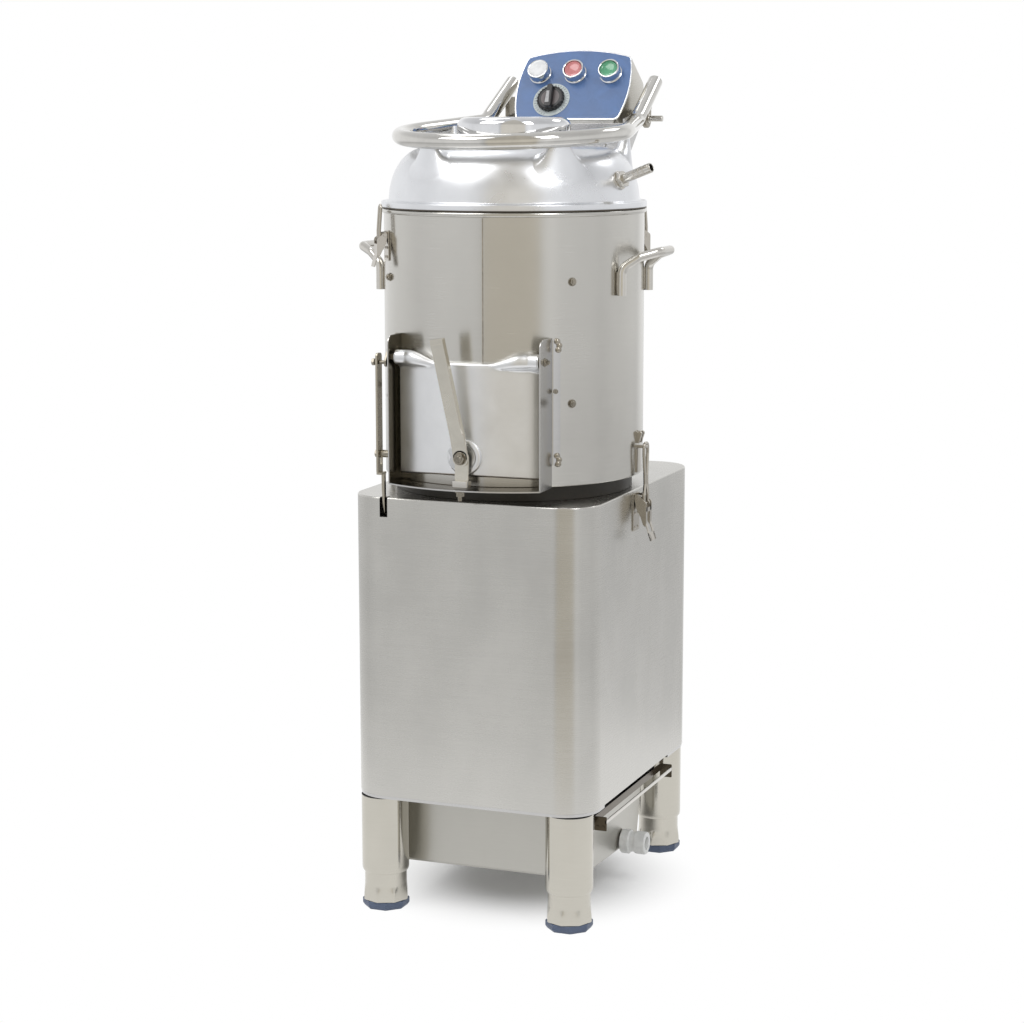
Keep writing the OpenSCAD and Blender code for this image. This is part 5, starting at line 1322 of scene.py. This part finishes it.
def controls():
    """Lamp, buttons and timer. Places on the panel are (across, up) from the middle of its foot."""
    def at(u, v):
        return PANEL @ moved(u, v, 0)

    row, step = 75, 53
    dial_place = at(-28, 32)
    s = Shape()
    for u in (0, step):
        s.lathe(BEZEL, 64, move=at(u, row))
    piece("button_rings", s, BEZEL_STEEL, "stand", "button_bezels")
    s = Shape().lathe(BEZEL, 64, move=at(-step, row))
    lens = [(0, 3), (13.4, 3), (13.4, 17.2)]
    lens += [(13.4 * cos(radians(a)), 17.2 + 2.4 * sin(radians(a))) for a in range(10, 90, 10)]
    s.lathe(lens + [(0, 19.6)], 64, finish=1, move=at(-step, row))
    piece("lamp_lens", s, [BEZEL_STEEL, WHITE_PLASTIC], "stand", "pilot_lamp")
    for u, finish, body, colour in ((step, GREEN_PLASTIC, "start", "green"), (0, RED_PLASTIC, "stop", "red")):
        cap = [(0, 6.2), (12.1, 6.2), (12.5, 6.6), (12.5, 15.4), (12.1, 16.1), (11.4, 16.3)]
        cap += [(10.6 * cos(radians(a)), 16.0 - 2.1 * sin(radians(a)))
                for a in range(0, 90, 10)] + [(0, 13.9)]
        button = Shape().lathe(cap, 64, move=at(u, row))
        piece(body + "_cap", button, finish, body, body + "_button")
    face = [(5, 2.0), (26.7, 2.0), (27.0, 2.2), (27.0, 2.8), (26.7, 3.0), (5, 3.0)]
    dial = to_object("dial", Shape().lathe(face, 96, move=dial_place), [DIAL_PRINT])
    tick = part_of(Shape().block((22.6, -0.28, 2.9), (25.6, 0.28, 3.04)))
    ticks = round_axis("ticks", tick, 31, dial_place, MARK_PRINT, -45, 310)
    finished(joined("timer_ring", clean(dial), clean(ticks)), "stand", "timer_dial")
    skirt = [(0, 3.3), (19.2, 3.3), (19.5, 3.8), (19.3, 8.0), (18.8, 9.2), (18.0, 9.8)]
    skirt += [(17.3, 9.6), (16.9, 9.0), (0, 8.8)]
    knob = Shape().lathe(skirt, 72, move=dial_place)
    turn = dial_place @ spun(4, "Z")
    bar = [(-5.0, -17.4), (-4.2, -18.2), (4.2, -18.2), (5.0, -17.4), (4.6, 11)]
    bar += [(4.0, 16.4), (2.4, 18.6), (-2.4, 18.6), (-4.0, 16.4), (-4.6, 11)]
    knob.prism(bar, 8.4, 16.6, 1.2, move=turn, steps=3)
    knob.prism([(-4.2, -12.6), (1.6, -12.6), (0.6, 6.5), (-3.6, 6.5)], 16.4, 16.9, 0.2, finish=1, move=turn)
    knob.lathe([(0, 8.6), (17.0, 8.6), (17.0, 8.95), (0, 9.0)], 64, finish=2, move=dial_place)
    base = clean(to_object("knob", knob, [BLACK_PLASTIC, GREY_PLASTIC, KNOB_FACE]))
    ridge = [(18.8, -1.0), (20.1, -0.6), (20.35, 0), (20.1, 0.6), (18.8, 1.0)]
    rib = part_of(Shape().prism(ridge, 3.6, 9.0, 0.25))
    ribs = round_axis("ribs", rib, 24, dial_place, BLACK_PLASTIC)
    finished(joined("timer_handle", base, clean(ribs)), "timer", "timer_knob")


# ---------------------------------------------------------------- lid

# the dome: a flat crown of this radius, then a side that is a quarter of an ellipse down to its foot
DOME_FLAT, DOME_SIDE, DOME_RISE, DOME_FOOT, DOME_WALL = 118, 49.5, 70, 952.5, 5
LID_HINGE = (250, 1059)


def lid():
    """Cast shell with its rolled rim, polished crown and the water inlet at the right."""
    def dome(wall, turns):
        side, rise = DOME_SIDE - wall, DOME_RISE - wall
        return [(DOME_FLAT + side * cos(radians(t)), DOME_FOOT + rise * sin(radians(t))) for t in turns]

    outer, inner = dome(0, range(6, 91, 3)), dome(DOME_WALL, range(90, -1, -5))
    profile = [(163, 944.5), (176.6, 944.5), (177.3, 944.9), (177.5, 945.8), (177.5, 950.6)]
    profile += around(1.8, (15, 35, 55, 75, 90), 175.7, 950.7)
    profile.append((171.2, 952.6))
    profile += [(171.0 - 3.4 * sin(radians(a)), 956.1 - 3.5 * cos(radians(a))) for a in (10, 30, 50, 70)]
    profile += outer + [(70, 1022.5), (70, 1017.5)] + inner[1:] + [(162.5, 951)]
    s = Shape().lathe(profile, 240)
    az, tilt = -12, radians(20)
    aim = Vector((cos(tilt) * cos(radians(az)), cos(tilt) * sin(radians(az)), sin(tilt)))
    inlet = turned(aim, point_at(az, 155.5, DOME_FOOT + 25.2))
    bore = Shape().cylinder(6.4, -20, 25, 32, move=inlet)
    piece("lid_shell", s, DOME_CAST, "lid", "lid_dome", cutters=(bore,), sharp=30)
    cap = [(0, 1022.5), (78.5, 1022.3), (76.8, 1023.4), (76.1, 1025.2), (76, 1028), (76, 1049)]
    cap += around(12, range(10, 90, 8), 64, 1050)
    cap += [(63.5, 1062.1), (61.6, 1062.2), (61.0, 1061.9), (60.4, 1061.2), (59.6, 1061.0)]
    cap += [(40, 1061.5), (20, 1061.8), (0, 1061.9)]
    piece("lid_crown", Shape().lathe(cap, 180), CAP_CAST, "lid", "lid_cap", sharp=30)
    # three grooves run round the pipe where the hose is pushed on
    wall = [(4.6, -10), (6.45, -10)]
    for z, r in ((34, 6.45), (41, 6.5), (48, 6.5)):
        wall += [(r, z), (6.1, z + 0.6), (6.1, z + 1.6), (6.5, z + 2.2)]
    wall += [(6.5, 58.6), (5.9, 59.6), (5.3, 60), (4.9, 59.7), (4.6, 59)]
    pipe = Shape().lathe(wall, 40, move=inlet)
    pipe.copy_of(nut_shape(11.8, 7), inlet @ moved(0, 0, 10))
    pipe.lathe([(5, 4), (12.6, 4), (13, 5), (12.4, 10.1), (5, 10.1)], 36, move=inlet)
    piece("inlet_pipe", pipe, ROD_STEEL, "lid", "water_inlet", sharp=28)


# the ring: radius, height of its front, slope, and the degrees it goes past a half circle at each side
RING_R, RING_Z, RING_RISE, RING_TURN = 152.0, 1031.0, radians(4.2), 14
RING_END = Vector((108, 272.5, 1110))


def on_ring(x, y):
    """A point of the ring's plane, which rises to the back, over a point of the level plane at its front."""
    return x, (y + RING_R) * cos(RING_RISE) - RING_R, RING_Z + (y + RING_R) * sin(RING_RISE)


def dome_height(r):
    """Height of the dome's outside at a distance from its axis."""
    return DOME_FOOT + DOME_RISE * sqrt(max(1 - max((r - DOME_FLAT) / DOME_SIDE, 0) ** 2, 0))


def cast_lug(s, az, r, wide):
    """A smooth lug that rises out of the dome and narrows up to the ring's tube; az and r are its place."""
    place, rings = azimuth(az, r), []
    x, y, _ = place @ Vector((0, 0, 0))
    top = on_ring(x, y)[2] + 1
    for share in (1.0, 0.96, 0.92, 0.87, 0.82, 0.77, 0.72, 0.66, 0.60, 0.54, 0.48, 0.42, 0.36, 0.31, 0.27,
                  0.24):
        ring = []
        for k in range(48):
            a = 2 * pi * k / 48
            p = place @ Vector((-24 * share * cos(a) if cos(a) > 0 else -15 * share * cos(a),
                                wide * share * sin(a), 0))
            low = dome_height(min(hypot(p.x, p.y), 166.5)) - 0.8
            ring.append((p.x, p.y, mix(low, top, ((1 - share) / 0.76) ** 2.6)))
        rings.append(ring)
    under = [(x, y, z - 3.5) for x, y, z in rings[0]]
    s.loft([under] + rings, finish=1)


def lid_ring():
    """The lifting ring: a sloping circle of tube whose flanks run straight back and bend up to their ends."""
    circle = [on_ring(RING_R * cos(radians(a)), RING_R * sin(radians(a)))
              for a in [mix(180 - RING_TURN, 360 + RING_TURN, i / 104) for i in range(105)]]
    flank = along([circle[-1], on_ring(112, 179), RING_END], 50, 4)
    path = [(-x, y, z) for x, y, z in flank[:0:-1]] + circle + flank[1:]
    ring = tube("ring", path, 10.5, 0.0, TUBE_STEEL, 48)
    s = Shape()
    for sx in (-1, 1):
        lug = around(13, range(-180, 1, 10), *LID_HINGE) + [(263, 1090), (237, 1090)]
        s.prism(lug, sx * 103 - 3, sx * 103 + 3, 0.9, finish=2, move=side_on(0), steps=3)
        rivet = [(0, -1), (4.6, -1), (5.2, 0.2), (4.9, 2.2), (3.6, 3.2), (0, 3.4)]
        s.lathe(rivet, 28, move=turned((sx, 0, 0), (sx * 106, 252, 1075)))
        end = Vector((RING_END.x * sx, RING_END.y, RING_END.z))
        aim = (end - Vector((112 * sx, flank[-2].y, flank[-2].z))).normalized()
        s.lathe([(0, -2), (8.6, -2), (8.9, 0.3), (8.0, 1.4), (0, 1.9)], 40, move=turned(aim, end))
    for az, r, wide in ((-116, 150, 44), (-46, 150, 44), (36, 156, 26), (144, 156, 26)):
        cast_lug(s, az, r, wide)
    lugs = clean(to_object("lugs", s, [TUBE_STEEL, DOME_CAST, BOLT_STEEL]), 30)
    finished(joined("lifting_ring", clean(ring, 50), clean(lugs, 30)), "lid", "lid_ring",
             sharp=30)


# ---------------------------------------------------------------- tray and drive

def tray():
    """Waste tray with a sloping floor, its rim, the pull lip and the drain fitting."""
    def level(inset, x, y0, y1, z0, z1):
        return [(px, py, mix(z0, z1, (py - y0) / (y1 - y0))) for px,
                py in round_box(-x, x, y0, y1, 10, inset, 8, 8)]
    rings = [level(3.2, 133, -106.5, 145.5, 54, 44), level(1.2, 133.2, -106.5, 145.7, 54.8, 44.8),
             level(0, 133.4, -106.6, 145.9, 57.5, 47.5), level(0, 138.6, -106.7, 151.1, 137, 137),
             level(0, 139, -106.7, 151.5, 140.8, 140.8)]
    inner = [level(1.2, 139, -106.7, 151.5, 142.0, 142.0), level(1.2, 138.6, -106.7, 151.1, 137, 137),
             level(1.2, 133.4, -106.6, 145.9, 57.5, 47.5), level(3.2, 133, -106.5, 145.5, 55.3, 45.3)]
    s = Shape().loft(rings + inner)
    frame_out = [(x, y, 140.9) for x, y in round_box(-141, 151, -109, 163.5, 3, 0, 8, 8)]
    frame_in = [(x, y, 140.9) for x, y in round_box(-138, 138, -106, 150, 9, 0, 8, 8)]
    top_out, top_in = [[(x, y, 142) for x, y, _ in ring] for ring in (frame_out, frame_in)]
    s.loft([frame_out, top_out, top_in, frame_in], closed=True)
    # pull lip: a bright bar between two end plates; the lip's inner wall, the end plates and their rivets are
    # near black as painted shade
    s.prism([(151, 131.8), (152.2, 131.8), (152.2, 142), (151, 142)], -189, 97, 0.3, finish=2,
            move=FACING_FRONT)
    s.prism(round_box(166.8, 169, 132.6, 138.0, 1.0, steps=4), -189, 97, 0.2, finish=1, move=FACING_FRONT)
    for y in (-97, 187.6):
        s.prism(round_box(151.2, 169, 122.8, 142, 1.2, steps=4), -y - 1.4, -y, 0.3, finish=2,
                move=FACING_FRONT)
        out, face = (-1, y) if y < 0 else (1, y + 1.4)
        for x in (156, 164):
            rivet = [(0, 0), (2.4, 0), (2.2, 0.9), (0, 1.2)]
            s.lathe(rivet, 16, finish=2, move=turned((0, out, 0), (x, face, 128)))
    piece("waste_tray", s, [TRAY_SHEET_PAINTED_SHADE, ROD_STEEL, PAINTED_SHADE_POLISH], "tray", "filter_tray")
    # drain fitting: height, radius and depth of the ten grip facets, from its flange out to its bore
    n, rings = 60, []
    for z, r, facet in ((1.2, 14, 0), (2.2, 16.4, 1), (3.4, 17, 1), (13.4, 17, 1), (14.8, 15.8, 1),
                        (15.2, 14, 0), (21.6, 13.6, 0),
                        (22.4, 15.4, 0), (24, 16, 0.3), (36, 16, 0.3), (37.6, 15.2, 0.2), (38, 14.2, 0),
                        (37.6, 9.4, 0), (8, 8.6, 0)):
        ring = []
        for k in range(n):
            a = 2 * pi * k / n
            wide = r * (1 - 0.055 * facet * (0.5 - 0.5 * cos(10 * a)))
            ring.append((wide * cos(a), wide * sin(a), z))
        rings.append(ring)
    piece("drain_fitting", Shape().loft(rings, move=turned((1, 0, 0), (134.4, 66, 60))), DRAIN_PLASTIC,
          "tray", "drain_connector", sharp=35)


def peeling_disc():
    """Disc with three waves and loose grit all over it."""
    s = Shape().lathe([(12.5, 598), (162.4, 598), (163.2, 598.8), (163.2, 605.2), (162.4, 606), (12.5, 606)],
                      180)
    for k in range(3):
        ribs, steps = [], 24
        for i in range(steps + 1):
            t = i / steps
            x = mix(24, 154, t)
            w, h = 9 * sqrt(max(1 - (2 * t - 1) ** 8, 0.02)), 5 * sqrt(max(1 - (2 * t - 1) ** 6, 0.02))
            arch = [(x, w * cos(radians(a)), 605 + h * sin(radians(a))) for a in range(0, 181, 15)]
            ribs.append(arch + [(x, -w, 603), (x, w, 603)])
        s.loft(ribs, move=spun(120 * k, "Z"))
    obj = clean(to_object("disc", s, [GRIT]))
    GRAINS.grow(obj, Density=32000.0, Grain=0.0009, Seed=11, Finish=GRIT)
    finished(obj, "disc", "abrasive_disc", sharp=40)


def gland():
    """Cable gland at the cabinet's back, with its nut inside."""
    back = turned((0, 1, 0), (110, CAB_BACK, 205))
    s = Shape().copy_of(nut_shape(14, 5.8), back)
    s.copy_of(nut_shape(14, 5.8), back @ moved(0, 0, -7.5))
    s.lathe([(5, -8), (9.8, -8), (9.8, 5), (11, 5.6), (11, 11), (10.2, 12.8), (8, 13.9), (5, 14)], 40,
            move=back)
    piece("cable_entry", s, BLACK_PLASTIC, "stand", "cable_gland")


cabinet()
service_cover()
legs()
drum()
drum_bolts()
door_frame()
side_handles()
door_panel()
door_lever()
door_bolts()
interlock()
latches()
column_and_box()
controls()
lid()
lid_ring()
tray()
peeling_disc()
gland()

# the nodes that keep their own shape
KEPT = {
    "under_frame": FRAME_STEEL,
    # the drum deck is dark as painted shade
    "drum_deck": DARK_CAST_AND_PAINTED_SHADE,
    "bearing_housing": DARK_CAST_AND_PAINTED_SHADE,
    "shaft_bearings": ROD_STEEL,
    "shaft_seal": BLACK_RUBBER,
    "motor_body": MOTOR_PAINT,
    "drive_belt": BLACK_RUBBER,
    "contactor": BLACK_PLASTIC,
    "drum_outlet": INNER_STEEL,
    "limit_switches": BLACK_PLASTIC,
    "switch_gear": BLACK_PLASTIC,
    "lid_gasket": GASKET_RUBBER,
    "filter_basket": INNER_STEEL,
    "drive_shaft": ROD_STEEL,
    "driven_pulley": DARK_CAST_AND_PAINTED_SHADE,
    "motor_pulley": DARK_CAST_AND_PAINTED_SHADE,
}
for node, finish in KEPT.items():
    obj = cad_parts[node]
    if obj.material_slots:
        for place in obj.material_slots:
            place.material = finish
    else:
        obj.data.materials.append(finish)


# ---------------------------------------------------------------- studio

def only_seen(tree, seen, unseen):
    """Mixes two shaders: one that the camera and reflections see, one that lights the object."""
    path = tree.nodes.new("ShaderNodeLightPath")
    total = None
    for ray in ("Is Camera Ray", "Is Glossy Ray", "Is Transmission Ray"):
        if total is None:
            total = path.outputs[ray]
            continue
        most = tree.nodes.new("ShaderNodeMath")
        most.operation = "MAXIMUM"
        tree.links.new(total, most.inputs[0])
        tree.links.new(path.outputs[ray], most.inputs[1])
        total = most.outputs[0]
    blend = tree.nodes.new("ShaderNodeMixShader")
    tree.links.new(total, blend.inputs[0])
    tree.links.new(unseen, blend.inputs[1])
    tree.links.new(seen, blend.inputs[2])
    return blend.outputs[0]


def set_sky():
    """White to the camera, a dim cool fill to the surfaces."""
    world = bpy.data.worlds.new("studio")
    scene.world = world
    world.use_nodes = True
    tree = world.node_tree
    tree.nodes.clear()
    shown, lit, end = (tree.nodes.new(k) for k in ("ShaderNodeBackground", "ShaderNodeBackground",
                                                   "ShaderNodeOutputWorld"))
    shown.inputs["Color"].default_value, shown.inputs["Strength"].default_value = (1, 1, 1, 1), 1.0
    lit.inputs["Color"].default_value, lit.inputs["Strength"].default_value = (0.97, 0.985, 1.0, 1), 0.47
    tree.links.new(only_seen(tree, shown.outputs[0], lit.outputs[0]), end.inputs["Surface"])


def lay_floor():
    """Pale floor that keeps the soft shadow and turns plain white further out."""
    mesh = bpy.data.meshes.new("floor")
    mesh.from_pydata([(-15, -15, 0), (15, -15, 0), (15, 15, 0), (-15, 15, 0)], [], [(0, 1, 2, 3)])
    floor = linked("floor", mesh)
    pale = bpy.data.materials.new("pale_floor")
    pale.use_nodes = True
    tree = pale.node_tree
    tree.nodes.clear()
    add = tree.nodes.new
    matt, glow, both, end = (add(k) for k in ("ShaderNodeBsdfDiffuse", "ShaderNodeEmission",
                                              "ShaderNodeAddShader", "ShaderNodeOutputMaterial"))
    matt.inputs["Color"].default_value = (0.90, 0.90, 0.90, 1)
    glow.inputs["Strength"].default_value = 0.06
    tree.links.new(matt.outputs[0], both.inputs[0])
    tree.links.new(glow.outputs[0], both.inputs[1])
    place, far, edge, white, spread = (add(k) for k in ("ShaderNodeTexCoord", "ShaderNodeVectorMath",
                                                        "ShaderNodeMapRange",
                                                        "ShaderNodeEmission", "ShaderNodeMixShader"))
    far.operation = "LENGTH"
    tree.links.new(place.outputs["Object"], far.inputs[0])
    tree.links.new(far.outputs["Value"], edge.inputs["Value"])
    edge.interpolation_type = "SMOOTHSTEP"
    edge.inputs["From Min"].default_value, edge.inputs["From Max"].default_value = 0.07, 0.25
    tree.links.new(edge.outputs[0], spread.inputs[0])
    tree.links.new(both.outputs[0], spread.inputs[1])
    tree.links.new(white.outputs[0], spread.inputs[2])
    tree.links.new(only_seen(tree, spread.outputs[0], matt.outputs[0]), end.inputs["Surface"])
    mesh.materials.append(pale)


def hang_softboxes():
    """Four soft boxes: azimuth, elevation, distance, width, height, brightness and colour."""
    for name, az, el, far, wide, tall, bright, colour in (
            ("softbox_left", -130, 51, 3.4, 2.0, 1.8, 3.0, (1.0, 0.99, 0.975)),
            ("softbox_right", -34, 45, 3.4, 0.8, 1.6, 5.0, (0.98, 0.99, 1.0)),
            ("softbox_rear_right", 60, 42, 3.4, 1.0, 0.7, 3.2, (1, 1, 1)),
            ("softbox_rear_left", 136, 60, 3.4, 1.0, 0.9, 3.2, (1, 1, 1))):
        lamp = bpy.data.lights.new(name, "AREA")
        lamp.shape, lamp.size, lamp.size_y, lamp.color = "RECTANGLE", wide, tall, colour
        lamp.energy = bright * pi * wide * tall
        place = Vector((cos(radians(el)) * cos(radians(az)), cos(radians(el)) * sin(radians(az)),
                        sin(radians(el)))) * far
        aim = Vector((0, -0.05, 0.75))
        obj = linked(name, lamp)
        obj.location = place + aim
        obj.rotation_euler = (aim - obj.location).to_track_quat("-Z", "Y").to_euler()


def build_room():
    """The room that reflections see: pale walls, a warmer and darker side, a dimmer ceiling."""
    profile = [(0.95, 0.004), (2.0, 0.004), (3.4, 0.004), (4.8, 0.004), (5.2, 0.4), (5.2, 2.0), (4.9, 3.6),
               (4.0, 5.0), (2.6, 6.0), (1.0, 6.5), (0.02, 6.6)]
    room = to_object("room", Shape().lathe([(r / MM, z / MM) for r, z in profile], 72, closed=False), [])
    paint = bpy.data.materials.new("room_walls")
    paint.use_nodes = True
    tree = paint.node_tree
    tree.nodes.clear()
    add = tree.nodes.new

    def ramp(value, stops):
        node = add("ShaderNodeValToRGB")
        bar = node.color_ramp.elements
        while len(bar) < len(stops):
            bar.new(0.5)
        for stop, (at, colour) in zip(bar, stops):
            stop.position = at
            stop.color = (*(colour if isinstance(colour, tuple) else (colour,) * 3), 1)
        tree.links.new(value, node.inputs[0])
        return node.outputs[0]

    place, turn, lift, unit, split, shift, tone, glow, end = (add("ShaderNode" + k) for k in (
        "TexCoord", "TexGradient", "VectorMath", "VectorMath", "SeparateXYZ", "MapRange", "VectorMath",
                                                                                              "Emission",
        "OutputMaterial"))
    turn.gradient_type = "RADIAL"
    tree.links.new(place.outputs["Object"], turn.inputs[0])
    lift.operation, unit.operation, tone.operation = "SUBTRACT", "NORMALIZE", "MULTIPLY"
    lift.inputs[1].default_value = (0, 0, 0.9)
    tree.links.new(place.outputs["Object"], lift.inputs[0])
    tree.links.new(lift.outputs[0], unit.inputs[0])
    tree.links.new(unit.outputs[0], split.inputs[0])
    shift.inputs["From Min"].default_value = -1
    tree.links.new(split.outputs[2], shift.inputs["Value"])
    beige = (0.73, 0.69, 0.61)
    # grey level or colour of the walls by azimuth in degrees
    by_azimuth = (
        (-180, 0.90), (-160, 0.82), (-125, 0.87), (-101, 0.85), (-97, 0.66), (-93, beige),
        (-49, beige), (-44, 0.86), (-38, 0.97), (-30, 0.85), (0, 0.83), (12, 0.78),
        (26, 0.84), (58, 0.88), (68, 0.80), (78, 1.0), (130, 0.97), (180, 0.90),
    )
    # factor on that by direction, from straight down at 0 to straight up at 1
    by_height = (
        (0.12, 1.0), (0.20, 0.84), (0.30, 0.79), (0.375, 0.62), (0.43, 0.95),
        (0.50, 1.0), (0.65, 0.97), (0.75, 0.76), (0.85, 0.72), (1.0, 0.78),
    )
    round_room = ramp(turn.outputs["Fac"], [((az + 180) / 360, c) for az, c in by_azimuth])
    up_room = ramp(shift.outputs[0], by_height)
    tree.links.new(round_room, tone.inputs[0])
    tree.links.new(up_room, tone.inputs[1])
    tree.links.new(tone.outputs[0], glow.inputs["Color"])
    tree.links.new(glow.outputs[0], end.inputs["Surface"])
    room.data.materials.append(paint)
    room.visible_camera = room.visible_diffuse = room.visible_shadow = False
    room.visible_transmission = room.visible_volume_scatter = False


set_sky()
lay_floor()
hang_softboxes()
build_room()
